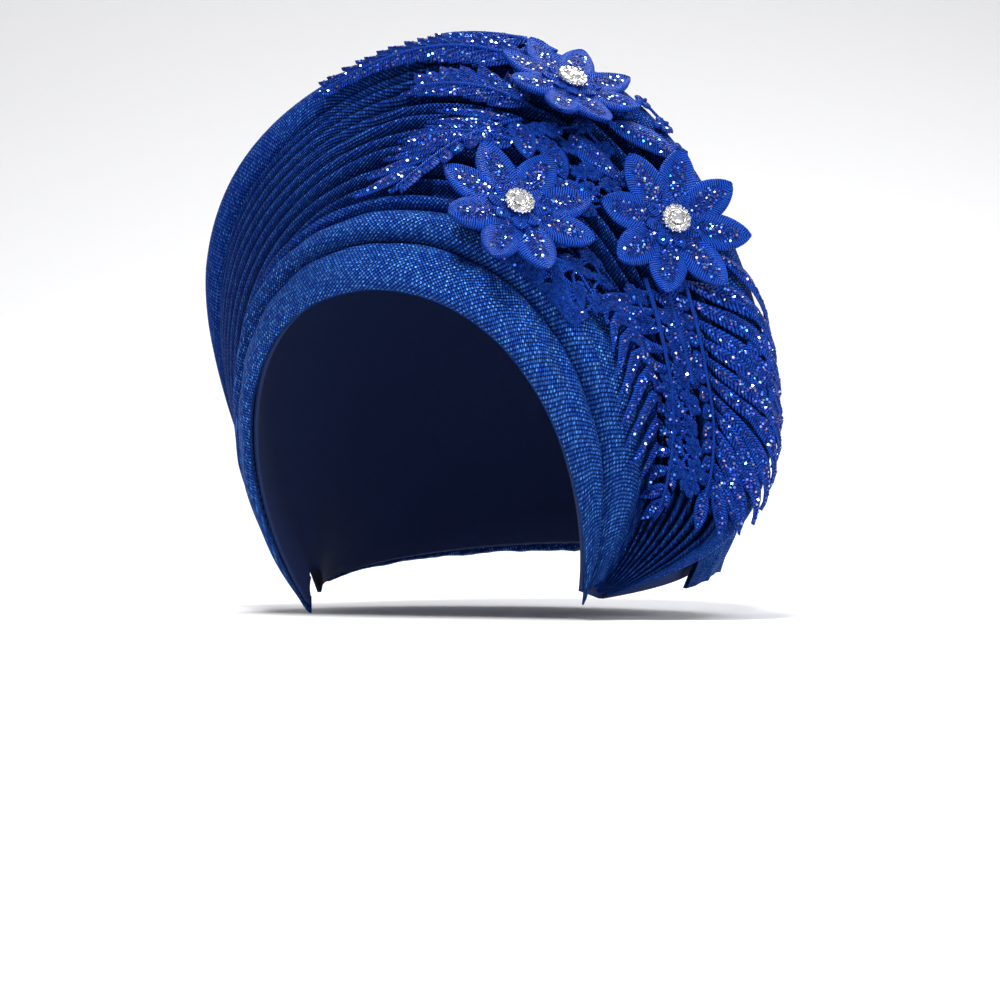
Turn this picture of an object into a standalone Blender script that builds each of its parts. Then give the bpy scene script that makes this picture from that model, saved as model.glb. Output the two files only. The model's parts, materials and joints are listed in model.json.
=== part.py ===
"""A ready-tied gele head tie: a cap, two folded front bands, a pleated fan and a spray of lace flowers.

Metres, +Z up. The wearer faces -Y and the wearer's left is +X. The origin is the middle of the head
at the level where head size is taken, just above the brows and the ears.

Every fold runs like the hoop of a bonnet: from a foot below the left ear, over the head, to the foot
below the right ear. A place on the tie is a share along that hoop, 0 at the left foot and 1 at the
right, and either an angle over the head (0 straight ahead, 90 the crown, 180 straight back) or, on
the trimmed face, how far across it lies: -1 at the groove of the bands, 0 on the roll, 1 at the rim.
"""

import math
from collections import namedtuple

import bmesh
import bpy
import numpy as np
from mathutils.geometry import tessellate_polygon

# The head that the cap is cut for
HEAD_HALF_WIDTH = 0.0775
HEAD_HALF_LENGTH = 0.0945
CROWN_HEIGHT = 0.0875
NAPE_DEPTH = 0.105
NAPE_ANGLE = 216.0
TEMPLE_NARROWING = 0.17

# The feet, where all the folds end below the ears
FOOT_OUT = 0.057
FOOT_FORWARD = 0.026
HEM_FOOT_DROP = 0.0945
FOOT_DROP = 0.0835

# Cloth, and the room between pieces that lie on each other
CAP_FIT = 0.0008
CAP_WALL = 0.002
CLOTH_WALL = 0.0022
SEAT_GAP = 0.0004
SEAT = CAP_FIT + CAP_WALL + SEAT_GAP

# The fan
PLEATS = 9
PLEAT_DEPTH_SHARE = 0.42
FAN_BULGE_SHARE = 0.05
RIM_FOLD = 0.0165
FAN_START = 3.2

# The crown cloth behind the fan
BACK_WALL = 0.002
RIM_GAP = 0.0006

# Lace
LACE_WALL = 0.0012
LACE_CLEAR = 0.0006
LACE_FACET = 0.010
LEAF_FILL = 0.90
LEAF_SPAN = 0.88
STEM_HALF_WIDTH = 0.0011
PETALS = 8
BUTTON_ACROSS = 0.0112
STONE_ACROSS = 0.0052
RING_STONES = 11

HOOP_STEPS = 22
HOOP_END = 0.03

# Where each fold's edge lies: its angle over the head, in degrees, at five places along the hoop
Edge = namedtuple("Edge", "left_foot left_side middle right_side right_foot")
EDGES = {
    "hem": Edge(30.7, 29.1, 18.9, 14.1, 8.0),
    "groove": Edge(55.7, 45.6, 30.7, 27.5, 20.1),
    "crease": Edge(120.0, 61.5, 37.7, 31.0, 30.0),
    "roll_top": Edge(124.0, 65.0, 41.0, 34.0, 33.0),
}

# How each band stands off the cap across its width, in metres
Section = namedtuple("Section", "across inside outside")
BANDS = {
    "front_band": [
        Section(0.00, 0.0, 0.0022),
        Section(0.12, 0.0, 0.0045),
        Section(0.40, 0.0, 0.0062),
        Section(0.75, 0.0, 0.0058),
        Section(1.00, 0.0, 0.0026),
    ],
    "upper_band": [
        Section(0.00, 0.0, 0.0040),
        Section(0.14, 0.0, 0.0075),
        Section(0.50, 0.0, 0.0095),
        Section(0.85, 0.0, 0.0080),
        Section(1.00, 0.0, 0.0045),
    ],
    "band_roll": [
        Section(0.00, 0.0, 0.0060),
        Section(0.25, 0.0, 0.0098),
        Section(0.70, 0.0, 0.0092),
        Section(1.00, 0.0, 0.0055),
    ],
}

# Big hoops: the rim of the fan, then the crown cloth back to the nape
Hoop = namedtuple("Hoop", "back up left right foot_out foot_back foot_drop turn tilt_left tilt_right square")
RIM = Hoop(-0.010, 0.1320, 0.121, 0.1035, 0.0655, -0.020, 0.0825, 0.45, 0.36, 0.175, 1.85)

# The crown cloth behind the fan, from the rim back to the nape
BackRow = namedtuple("BackRow", "across angle swing lift")
BACK_ROWS = [
    BackRow(0.16, 103.0, 24.0, 0.0275),
    BackRow(0.32, 121.0, 18.0, 0.0245),
    BackRow(0.48, 140.0, 12.0, 0.0205),
    BackRow(0.64, 160.0, 7.0, 0.0160),
    BackRow(0.80, 182.0, 3.0, 0.0115),
    BackRow(0.91, 200.0, 0.0, 0.0080),
    BackRow(1.00, 215.0, 0.0, 0.0055),
]
BACK_FOOT_LIFT = 0.30
BACK_FOOT_OUT = 0.008
BACK_FOOT_BACK = 0.014

# Lace flowers: where the middle lies, how high, how deep its sewn foot goes, its tip and size
Flower = namedtuple("Flower", "share across lift root tip_up spin radius")
FLOWERS = {
    "flower_top": Flower(0.425, 0.900, 0.0058, 0.0042, 0.30, 0.15, 0.0285),
    "flower_middle": Flower(0.362, 0.110, 0.0040, -0.0004, 0.0, 0.35, 0.0280),
    "flower_side": Flower(0.318, 0.780, 0.0056, 0.0014, 0.0, 0.20, 0.0310),
}

# Lace fronds: the stem runs from one place on the trimmed face to another, with leaflets each side
Frond = namedtuple("Frond", "share across tip_share tip_across leaves left right lean width")
FRONDS = {
    "frond_top": Frond(0.455, 0.93, 0.600, 0.94, 7, 0.011, 0.010, 42.0, 0.0024),
    "frond_crown": Frond(0.432, 0.76, 0.515, 0.78, 4, 0.008, 0.010, 42.0, 0.0028),
    "frond_middle": Frond(0.437, 0.50, 0.470, 0.05, 4, 0.024, 0.007, 55.0, 0.0034),
    "frond_inner": Frond(0.258, 0.38, 0.110, 0.38, 7, 0.019, 0.007, 46.0, 0.0026),
    "frond_outer": Frond(0.268, 0.86, 0.135, 1.00, 7, 0.013, 0.013, 42.0, 0.0028),
}

# Pierced lace between the sprays: a scalloped patch with rows of openings
Ground = namedtuple("Ground", "share across length width turn rows columns hole scallops")
GROUNDS = {
    "ground_middle": Ground(0.298, -0.30, 0.034, 0.019, -0.06, 5, 2, 0.0040, 14),
    "ground_side": Ground(0.178, 0.64, 0.032, 0.009, 0.0, 4, 2, 0.0026, 12),
    "ground_upper": Ground(0.372, 0.60, 0.024, 0.014, 0.0, 3, 2, 0.0032, 12),
}

COLOURS = {
    "cloth": ((0.004, 0.030, 0.300, 1.0), 0.45),
    "lace": ((0.010, 0.045, 0.520, 1.0), 0.55),
    "metal": ((0.560, 0.570, 0.600, 1.0), 0.25),
    "glass": ((0.850, 0.880, 0.930, 1.0), 0.08),
}


def hoop_shares(steps=HOOP_STEPS):
    """Shares along a hoop, from near the left foot to near the right foot."""
    return np.linspace(HOOP_END, 1 - HOOP_END, steps + 1)


def smooth_between(keys, values, where):
    """Smooth values between a few keys; the first axis of values runs along the keys."""
    keys = np.asarray(keys, float)
    values = np.asarray(values, float)
    spread = (-1,) + (1,) * (values.ndim - 1)
    step = np.diff(keys).reshape(spread)
    rate = np.diff(values, axis=0) / step
    slope = np.empty_like(values)
    slope[0], slope[-1] = rate[0], rate[-1]
    slope[1:-1] = (rate[:-1] * step[1:] + rate[1:] * step[:-1]) / (step[1:] + step[:-1])
    where = np.clip(where, keys[0], keys[-1])
    i = np.clip(np.searchsorted(keys, where, side="right") - 1, 0, len(keys) - 2)
    width = (keys[i + 1] - keys[i])
    t = (where - keys[i]) / width
    extra = values.ndim - 1
    t = np.reshape(t, np.shape(t) + (1,) * extra)
    width = np.reshape(width, np.shape(width) + (1,) * extra)
    a = (1 + 2 * t) * (1 - t) ** 2
    b = t * (1 - t) ** 2
    c = t * t * (3 - 2 * t)
    d = t * t * (t - 1)
    return a * values[i] + b * width * slope[i] + c * values[i + 1] + d * width * slope[i + 1]


def hoop_point(hoop, share):
    """Points of a hoop through both feet: half an ellipse and a little more, in a plane on the feet."""
    left_side = share < 0.5
    half = np.where(left_side, hoop.left, hoop.right)
    tilt = np.where(left_side, hoop.tilt_left, -hoop.tilt_right)
    tuck = np.sqrt(1 - (hoop.foot_out / half) ** 2)
    rise = hoop.up + hoop.foot_drop
    reach = np.hypot(hoop.back - hoop.foot_back, rise)
    start = np.arcsin(tuck)
    sweep = (math.pi / 2 + start) * (1 - np.abs(2 * share - 1)) - start
    above = sweep > 0
    flat = np.abs(np.cos(sweep))
    high = np.sin(sweep)
    flat = np.where(above, flat ** (2 / hoop.square), flat)
    high = np.where(above, np.abs(high) ** (2 / hoop.square), high)
    across = half * flat
    along = (tuck + high) / (1 + tuck)
    side = np.where(left_side, across, -across)
    back = hoop.foot_back + along * (hoop.back - hoop.foot_back) + hoop.turn * side * along
    up = along * rise - hoop.foot_drop - tilt * across * 4 * along * (1 - along)
    return np.stack(np.broadcast_arrays(side, back, up), axis=-1)


def head_point(angle, share, lift, foot_out=0.0, foot_back=0.0):
    """A point lift above the head, at an angle in degrees over it and a share along the hoop."""
    turn = np.radians(angle)
    rise = np.where(np.sin(turn) > 0, CROWN_HEIGHT, NAPE_DEPTH) + lift
    half = (HEAD_HALF_WIDTH + lift) * (1 - TEMPLE_NARROWING * np.maximum(np.cos(turn), 0) ** 2)
    back = -(HEAD_HALF_LENGTH + lift) * np.cos(turn)
    drop = np.interp(angle, [15.0, 50.0], [HEM_FOOT_DROP, FOOT_DROP])
    out = FOOT_OUT + lift + foot_out
    up = rise * np.sin(turn)
    return hoop_point(Hoop(back, up, half, half, out, foot_back - FOOT_FORWARD, drop, 0, 0, 0, 2.0), share)


def edge_angle(name, share):
    """The angle over the head of a named fold's edge."""
    return smooth_between([0.0, 0.25, 0.5, 0.75, 1.0], EDGES[name], share)


def unit(vectors):
    return vectors / np.linalg.norm(vectors, axis=-1, keepdims=True)


def foot_taper(share):
    """How much of its full thickness a fold keeps as it runs into the feet."""
    near = np.minimum(share, 1 - share)
    return 0.35 + 0.65 * np.clip((near - HOOP_END) / 0.13, 0, 1)


# Shapes

def surface_material(name, family):
    colour, rough = COLOURS[family]
    material = bpy.data.materials.new(name + "_surface")
    material.use_nodes = True
    shader = material.node_tree.nodes["Principled BSDF"]
    shader.inputs["Base Color"].default_value = colour
    shader.inputs["Roughness"].default_value = rough
    shader.inputs["Metallic"].default_value = 1.0 if family == "metal" else 0.0
    return material


def solid(name, points, faces, family):
    mesh = bpy.data.meshes.new(name)
    mesh.from_pydata([tuple(map(float, p)) for p in points], [], [tuple(map(int, f)) for f in faces])
    part = bpy.data.objects.new(name, mesh)
    bpy.context.scene.collection.objects.link(part)
    shape = bmesh.new()
    shape.from_mesh(mesh)
    bmesh.ops.recalc_face_normals(shape, faces=shape.faces)
    shape.to_mesh(mesh)
    shape.free()
    mesh.materials.append(surface_material(name, family))
    return part


def sheet_solid(name, outer, inner, family):
    """One closed solid from two grids of points, [across][along], joined round their four borders."""
    rows, columns = outer.shape[:2]
    points = np.concatenate([outer.reshape(-1, 3), inner.reshape(-1, 3)])
    top = np.arange(rows * columns).reshape(rows, columns)
    under = top + rows * columns
    faces = []
    for i in range(rows - 1):
        for j in range(columns - 1):
            faces.append((top[i, j], top[i, j + 1], top[i + 1, j + 1], top[i + 1, j]))
            faces.append((under[i, j], under[i + 1, j], under[i + 1, j + 1], under[i, j + 1]))
        faces.append((top[i, 0], top[i + 1, 0], under[i + 1, 0], under[i, 0]))
        faces.append((top[i, -1], under[i, -1], under[i + 1, -1], top[i + 1, -1]))
    for j in range(columns - 1):
        faces.append((top[0, j], under[0, j], under[0, j + 1], top[0, j + 1]))
        faces.append((top[-1, j], top[-1, j + 1], under[-1, j + 1], under[-1, j]))
    return solid(name, points, faces, family)


def cut_sheet(name, loops, place, family):
    """A flat outline with openings, in metres, laid on a surface; place(points, lift) gives its place."""
    flat = [[(float(x), float(y), 0.0) for x, y in loop] for loop in loops]
    triangles = tessellate_polygon(flat)
    shape = bmesh.new()
    corners = [shape.verts.new(point) for loop in flat for point in loop]
    for triangle in triangles:
        shape.faces.new([corners[i] for i in triangle])
    long_edges = [edge for edge in shape.edges if edge.calc_length() > LACE_FACET]
    bmesh.ops.subdivide_edges(shape, edges=long_edges, cuts=1)
    return thick_sheet(name, shape, place, family)


def thick_sheet(name, shape, place, family):
    """A closed solid from a flat mesh laid on a surface; place(points, lift) gives each point's place."""
    bmesh.ops.triangulate(shape, faces=shape.faces)
    shape.verts.index_update()
    outline = np.array([vertex.co[:2] for vertex in shape.verts])
    count = len(outline)
    points = np.concatenate([place(outline, LACE_CLEAR + LACE_WALL), place(outline, LACE_CLEAR)])
    faces = []
    for face in shape.faces:
        ring = [vertex.index for vertex in face.verts]
        faces.append(tuple(ring))
        faces.append(tuple(i + count for i in reversed(ring)))
    for edge in shape.edges:
        if edge.is_boundary:
            a, b = edge.verts[0].index, edge.verts[1].index
            faces.append((a, b, b + count, a + count))
    shape.free()
    return solid(name, points, faces, family)


# The folds

def cap():
    share = hoop_shares()
    start = edge_angle("hem", share) + 2.0
    across = np.linspace(0, 1, 10)[:, None] ** 1.5
    angle = start + across * (NAPE_ANGLE - start)
    outer = head_point(angle, share, CAP_FIT + CAP_WALL)
    inner = head_point(angle, share, CAP_FIT)
    return sheet_solid("cap", outer, inner, "cloth")


def band(name, low, high):
    share = hoop_shares()
    gap = math.degrees(SEAT_GAP / HEAD_HALF_LENGTH) * 0.6
    start = edge_angle(low, share) + gap
    end = edge_angle(high, share) - gap
    thick = foot_taper(share)
    outer, inner = [], []
    for section in BANDS[name]:
        angle = start + section.across * (end - start)
        outer.append(head_point(angle, share, SEAT + section.outside * thick))
        inner.append(head_point(angle, share, SEAT + section.inside))
    return sheet_solid(name, np.array(outer), np.array(inner), "cloth")


def fan_frame(share):
    """At shares along the hoop: where the fan starts, the way out to its rim, its facing and width."""
    start = head_point(edge_angle("roll_top", share) + FAN_START, share, SEAT + CLOTH_WALL + 0.0008)
    rim = hoop_point(RIM, share)
    fine = 0.004
    along = hoop_point(RIM, np.clip(share + fine, 0, 1)) - hoop_point(RIM, np.clip(share - fine, 0, 1))
    out = unit(rim - start)
    width = np.linalg.norm(rim - start, axis=-1, keepdims=True)
    facing = unit(np.cross(out, unit(along)))
    return start, out, facing, width


def fan_section(share):
    """The fan's fold radius and the width of its pleated part at shares along the hoop."""
    start, out, facing, width = fan_frame(share)
    radius = np.minimum(RIM_FOLD, width * 0.28) / 2
    pleated = width - 1.75 * radius
    return start, out, facing, radius, pleated


PLEAT_SHAPE = ((0.0, 0.0), (0.28, 0.95), (0.72, 0.95))
RIM_DEGREES = (150, 112, 75, 38, 0, -38, -75)


def bulge(across):
    return FAN_BULGE_SHARE * 4 * across * (1 - across)


def pleated_fan():
    share = hoop_shares()
    start, out, facing, radius, pleated = fan_section(share)
    outer, inner = [], []
    for pleat in range(PLEATS):
        for turn, height in PLEAT_SHAPE:
            across = (pleat + turn) / PLEATS
            rise = (height * PLEAT_DEPTH_SHARE / PLEATS + bulge(across)) * pleated
            point = start + out * pleated * across + facing * rise
            outer.append(point)
            inner.append(point - facing * CLOTH_WALL)
    point = start + out * pleated * 0.995
    outer.append(point)
    inner.append(point - facing * CLOTH_WALL)
    centre = start + out * (pleated + radius * 0.88) - facing * radius * 0.2
    wall = np.minimum(CLOTH_WALL, radius * 0.45)
    for degrees in RIM_DEGREES:
        turn = math.radians(degrees)
        direction = out * math.cos(turn) + facing * math.sin(turn)
        outer.append(centre + direction * radius)
        inner.append(centre + direction * (radius - wall))
    return sheet_solid("pleated_fan", np.array(outer), np.array(inner), "cloth")


def back_point(across, share, lift):
    """Points on the crown cloth, 0 under the rim and 1 at the nape; lift is out from the head."""
    start, out, facing, radius, pleated = fan_section(share)
    centre = start + out * (pleated + radius * 0.88) - facing * radius * 0.2
    rows = [centre + out * radius * 0.1 - facing * (radius + RIM_GAP)]
    ease = BACK_FOOT_LIFT + (1 - BACK_FOOT_LIFT) * 2 * np.minimum(share, 1 - share)
    for row in BACK_ROWS:
        angle = row.angle + row.swing * np.sin(2 * math.pi * share)
        height = SEAT + BACK_WALL * 1.2 + row.lift * ease
        rows.append(head_point(angle, share, height, BACK_FOOT_OUT, BACK_FOOT_BACK))
    keys = [0.0] + [row.across for row in BACK_ROWS]
    rows = np.array(rows)
    point = np.array([smooth_between(keys, rows, float(a)) for a in across])
    return point + unit(point - np.array([0.0, 0.01, 0.0])) * lift


def back_crown():
    share = hoop_shares()
    across = np.linspace(0, 1, 9)
    outer = back_point(across, share, 0.0)
    inner = back_point(across, share, -BACK_WALL)
    return sheet_solid("back_crown", outer, inner, "cloth")


# The lace

def face_point(share, across, lift):
    """A point over the trimmed face, on the tops of the folds: -1 the groove, 0 the roll, 1 the rim."""
    share = np.asarray(share, float)
    across = np.asarray(across, float)
    groove = edge_angle("groove", share)
    crease = edge_angle("crease", share)
    roll = edge_angle("roll_top", share)
    thick = foot_taper(share)[..., None]
    start, out, facing, radius, pleated = fan_section(share)
    rows = [
        head_point(groove * 0.86 + crease * 0.14, share, SEAT + 0.0076 * thick[..., 0]),
        head_point(groove * 0.5 + crease * 0.5, share, SEAT + 0.0096 * thick[..., 0]),
        head_point(crease * 0.6 + roll * 0.4, share, SEAT + 0.0100 * thick[..., 0]),
    ]
    for spot, spare in ((0.12, 0.0020), (0.25, 0.0012), (0.5, 0.0002), (0.75, 0.0)):
        rise = (0.95 * PLEAT_DEPTH_SHARE / PLEATS + bulge(spot)) * pleated
        rows.append(start + out * pleated * spot + facing * (rise + spare))
    centre = start + out * (pleated + radius * 0.88) - facing * radius * 0.2
    for degrees in (75, 20, -35):
        turn = math.radians(degrees)
        rows.append(centre + (out * math.cos(turn) + facing * math.sin(turn)) * radius)
    keys = np.array([-1.0, -0.5, 0.0, 0.12, 0.25, 0.5, 0.75, 1.0, 1.15, 1.3])
    rows = np.array(rows)
    if share.ndim == 0:
        point = smooth_between(keys, rows, across)
    else:
        each = [smooth_between(keys, rows[:, i], across[i]) for i in range(len(share))]
        point = np.array(each)
    return point + lift


def face_frame(share, across):
    """The place on the trimmed face, the ways left-to-right and outwards along it, and its facing."""
    step = 0.004
    place = face_point(share, across, 0.0)
    along = face_point(share + step, across, 0.0) - face_point(share - step, across, 0.0)
    out = face_point(share, across + step * 4, 0.0) - face_point(share, across - step * 4, 0.0)
    per_share = np.linalg.norm(along) / (2 * step)
    per_across = np.linalg.norm(out) / (8 * step)
    along = unit(along)
    facing = unit(np.cross(out, along))
    out = np.cross(along, facing)
    return place, along, out, facing, per_share, per_across


def lace_place(share, across):
    """A function that lays flat metres (along, outwards) from one spot onto the trimmed face."""
    per_share, per_across = face_frame(share, across)[4:]

    def place(points, lift):
        shares = np.clip(share + points[:, 0] / per_share, 0.04, 0.96)
        acrosses = np.clip(across + points[:, 1] / per_across, -0.98, 1.28)
        result = []
        for s, a in zip(shares, acrosses):
            spot = face_frame(float(s), float(a))
            result.append(spot[0] + spot[3] * lift)
        return np.array(result)

    return place, per_share, per_across


def frond(name):
    """A stem with paired leaflets, cut as one piece of lace."""
    leaf = FRONDS[name]
    middle = face_frame((leaf.share + leaf.tip_share) / 2, (leaf.across + leaf.tip_across) / 2)
    per_share, per_across = middle[4:]
    end = np.array([
        (leaf.tip_share - leaf.share) * per_share,
        (leaf.tip_across - leaf.across) * per_across,
    ])
    length = np.linalg.norm(end)
    way = end / length
    beside = np.array([-way[1], way[0]])
    lean = math.radians(leaf.lean)
    pitch = LEAF_SPAN * length / leaf.leaves
    half_width = min(leaf.width, LEAF_FILL / 2 * pitch * math.sin(lean))
    neck = 0.5 * half_width / math.sin(lean)

    spots = [(i + 0.6) * pitch for i in range(leaf.leaves)]
    stations = [0.0] + [spot + shift for spot in spots for shift in (-neck, neck)]
    flat = [way * spot + beside * side * STEM_HALF_WIDTH for spot in stations for side in (-1, 1)]
    flat.append(end)
    faces = [(i, i + 2, i + 3, i + 1) for i in range(0, 2 * len(stations) - 2, 2)]
    faces.append((len(flat) - 3, len(flat) - 1, len(flat) - 2))
    for i, spot in enumerate(spots):
        for side, longest in ((0, leaf.right), (1, leaf.left)):
            reach = longest * (1.0 - 0.25 * (spot / length) ** 2)
            aside = beside * (1 if side else -1)
            point = way * math.cos(lean) + aside * math.sin(lean)
            wide = way * math.sin(lean) - aside * math.cos(lean)
            low, high = 4 * i + 2 + side, 4 * i + 4 + side
            base = (flat[low] + flat[high]) / 2
            clear = (half_width * math.cos(lean) + STEM_HALF_WIDTH / 2) / (reach * math.sin(lean))
            shoulder = min(max(0.4, clear), 0.7)
            for at, fullness in ((shoulder, 1.0), ((1 + shoulder) / 2, 0.7)):
                here = base + point * reach * at
                flat += [here - wide * half_width * fullness, here + wide * half_width * fullness]
                faces.append((low, high, len(flat) - 1, len(flat) - 2))
                low, high = len(flat) - 2, len(flat) - 1
            flat.append(base + point * reach)
            faces.append((low, high, len(flat) - 1))

    def place(points, lift):
        shares = np.clip(leaf.share + points[:, 0] / per_share, 0.04, 0.96)
        acrosses = np.clip(leaf.across + points[:, 1] / per_across, -0.98, 1.28)
        laid = [face_frame(float(s), float(a)) for s, a in zip(shares, acrosses)]
        return np.array([spot[0] + spot[3] * lift for spot in laid])

    shape = bmesh.new()
    corners = [shape.verts.new((x, y, 0.0)) for x, y in flat]
    for face in faces:
        shape.faces.new([corners[i] for i in face])
    return thick_sheet(name, shape, place, "lace")


def ground(name):
    """A scalloped patch of lace with rows of openings cut through."""
    patch = GROUNDS[name]
    spread = lace_place(patch.share, patch.across)[0]
    rotate = np.array([
        [math.cos(patch.turn), math.sin(patch.turn)],
        [-math.sin(patch.turn), math.cos(patch.turn)],
    ])

    def place(points, lift):
        return spread(points @ rotate, lift)

    edge = []
    for i in range(patch.scallops * 2):
        turn = math.pi * i / patch.scallops
        reach = 1.0 if i % 2 else 0.86
        edge.append((math.cos(turn) * patch.length / 2 * reach, math.sin(turn) * patch.width / 2 * reach))
    loops = [edge]
    for row in range(patch.rows):
        for column in range(patch.columns):
            x = ((row + 0.5) / patch.rows - 0.5) * patch.length * 0.78
            room = math.sqrt(max(0.0, 1 - (2 * x / patch.length) ** 2))
            y = ((column + 0.5) / patch.columns - 0.5) * patch.width * 0.86 * room
            half = patch.hole / 2
            loops.append([
                (x + math.cos(math.pi * k / 3) * half, y + math.sin(math.pi * k / 3) * half * 0.8)
                for k in range(6)
            ])
    return cut_sheet(name, loops, place, "lace")


def flower_frame(name):
    """Where a flower sits: its middle, its two ways across and its facing."""
    spot = FLOWERS[name]
    place, along, out, facing = face_frame(spot.share, spot.across)[:4]
    facing = unit(facing + out * spot.tip_up)
    along = unit(along - facing * np.dot(along, facing))
    out = np.cross(along, facing)
    turn = spot.spin
    first = along * math.cos(turn) + out * math.sin(turn)
    second = out * math.cos(turn) - along * math.sin(turn)
    return place + facing * spot.lift, first, second, facing


PETAL_SHAPE = (0.42, 0.80, 0.93, 1.0, 0.93, 0.80)
PETAL_RINGS = (0.16, 0.55, 1.0)


def flower(name):
    """Eight pointed petals and the raised middle that the button sits on."""
    spot = FLOWERS[name]
    middle, first, second, facing = flower_frame(name)
    steps = len(PETAL_SHAPE)
    count = PETALS * steps
    upper, lower = [], []
    for share in PETAL_RINGS:
        ring_up, ring_low = [], []
        for i in range(count + 1):
            turn = 2 * math.pi * i / count
            reach = PETAL_SHAPE[i % steps]
            radius = spot.radius * (share if share < 0.3 else share * reach + (1 - share) * 0.16)
            curl = 0.0016 * share ** 2
            way = first * math.cos(turn) + second * math.sin(turn)
            here = middle + way * radius + facing * curl
            ring_up.append(here)
            ring_low.append(here - facing * LACE_WALL)
        upper.append(ring_up)
        lower.append(ring_low)
    count_all = count
    points = [middle + facing * 0.0002, middle - facing * (spot.lift + spot.root)]
    points += [p for ring in upper for p in ring[:-1]]
    below = len(points)
    points += [p for ring in lower for p in ring[:-1]]
    faces = []
    for i in range(count_all):
        j = (i + 1) % count_all
        faces.append((0, 2 + i, 2 + j))
        faces.append((1, below + j, below + i))
        for ring in range(len(PETAL_RINGS) - 1):
            a = 2 + ring * count_all
            faces.append((a + i, a + count_all + i, a + count_all + j, a + j))
            b = below + ring * count_all
            faces.append((b + j, b + count_all + j, b + count_all + i, b + i))
        last = (len(PETAL_RINGS) - 1) * count_all
        a = 2 + last
        b = below + last
        faces.append((a + i, b + i, b + j, a + j))
    return solid(name, points, faces, "lace")


def button(name):
    """A button's setting with its ring of small stones, and its middle stone."""
    middle, first, second, facing = flower_frame(name)
    count = RING_STONES * 2
    rows = [(0.40, 0.0006), (0.50, 0.0022), (0.46, 0.0038), (0.29, 0.0036), (0.25, 0.0026)]
    points = [middle + facing * 0.0006, middle + facing * 0.0026]
    for radius, height in rows:
        for i in range(count):
            turn = 2 * math.pi * i / count
            wave = 1.0 - (0.10 if i % 2 == 0 and radius > 0.38 else 0.0)
            way = first * math.cos(turn) + second * math.sin(turn)
            points.append(middle + way * BUTTON_ACROSS * radius * wave + facing * height)
    faces = []
    for i in range(count):
        j = (i + 1) % count
        faces.append((0, 2 + j, 2 + i))
        last = 2 + (len(rows) - 1) * count
        faces.append((1, last + i, last + j))
        for ring in range(len(rows) - 1):
            a = 2 + ring * count
            faces.append((a + i, a + j, a + count + j, a + count + i))
    label = name.replace("flower", "setting")
    solid(label, points, faces, "metal")
    points = []
    for radius, height in ((0.30, 0.0029), (0.50, 0.0037), (0.30, 0.0046)):
        for i in range(8):
            turn = 2 * math.pi * i / 8
            way = first * math.cos(turn) + second * math.sin(turn)
            points.append(middle + way * STONE_ACROSS * radius + facing * height)
    faces = [tuple(reversed(range(8))), tuple(range(16, 24))]
    for ring in (0, 8):
        for i in range(8):
            j = (i + 1) % 8
            faces.append((ring + i, ring + j, ring + 8 + j, ring + 8 + i))
    solid(name.replace("flower", "stone"), points, faces, "glass")


def main():
    for item in list(bpy.data.objects):
        bpy.data.objects.remove(item)
    cap()
    band("front_band", "hem", "groove")
    band("upper_band", "groove", "crease")
    band("band_roll", "crease", "roll_top")
    pleated_fan()
    back_crown()
    for name in FLOWERS:
        flower(name)
        button(name)
    for name in FRONDS:
        frond(name)
    for name in GROUNDS:
        ground(name)


main()
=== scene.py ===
"""Looks for the ready-tied gele head tie: woven cloth folds, pleats, lace, sequins and crystal buttons.

Metres, +Z up. The wearer faces -Y and the wearer's left is +X. Every fold runs like the hoop of a
bonnet, from a foot below the left ear (share 0) over the head to the right foot (share 1).
"""

import json
import math
from collections import namedtuple

import bpy
import numpy as np
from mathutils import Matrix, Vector

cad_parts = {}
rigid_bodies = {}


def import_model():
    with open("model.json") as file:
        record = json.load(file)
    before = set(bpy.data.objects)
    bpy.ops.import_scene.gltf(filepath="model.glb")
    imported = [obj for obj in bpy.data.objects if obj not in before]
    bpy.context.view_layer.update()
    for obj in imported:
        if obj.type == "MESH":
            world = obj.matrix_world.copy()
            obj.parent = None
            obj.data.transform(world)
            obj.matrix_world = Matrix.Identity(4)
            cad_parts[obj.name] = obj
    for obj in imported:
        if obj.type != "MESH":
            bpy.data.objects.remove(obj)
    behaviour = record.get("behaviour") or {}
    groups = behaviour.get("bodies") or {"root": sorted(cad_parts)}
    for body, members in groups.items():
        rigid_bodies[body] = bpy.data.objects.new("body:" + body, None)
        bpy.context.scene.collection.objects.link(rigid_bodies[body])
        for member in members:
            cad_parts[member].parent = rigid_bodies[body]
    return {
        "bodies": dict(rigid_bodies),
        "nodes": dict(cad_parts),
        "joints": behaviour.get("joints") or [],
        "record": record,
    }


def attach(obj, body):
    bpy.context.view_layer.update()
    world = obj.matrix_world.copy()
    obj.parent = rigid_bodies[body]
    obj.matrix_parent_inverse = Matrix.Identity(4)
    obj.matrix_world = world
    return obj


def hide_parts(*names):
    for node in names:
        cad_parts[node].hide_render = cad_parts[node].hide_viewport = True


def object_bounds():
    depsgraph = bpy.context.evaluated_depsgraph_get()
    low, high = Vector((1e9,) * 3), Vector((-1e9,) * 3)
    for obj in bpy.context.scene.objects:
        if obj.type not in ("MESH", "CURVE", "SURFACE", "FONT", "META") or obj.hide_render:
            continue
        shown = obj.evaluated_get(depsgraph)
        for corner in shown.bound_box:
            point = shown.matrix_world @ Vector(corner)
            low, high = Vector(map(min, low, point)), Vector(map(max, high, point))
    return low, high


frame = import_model()
size_at_start = [list(corner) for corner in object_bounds()]

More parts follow.
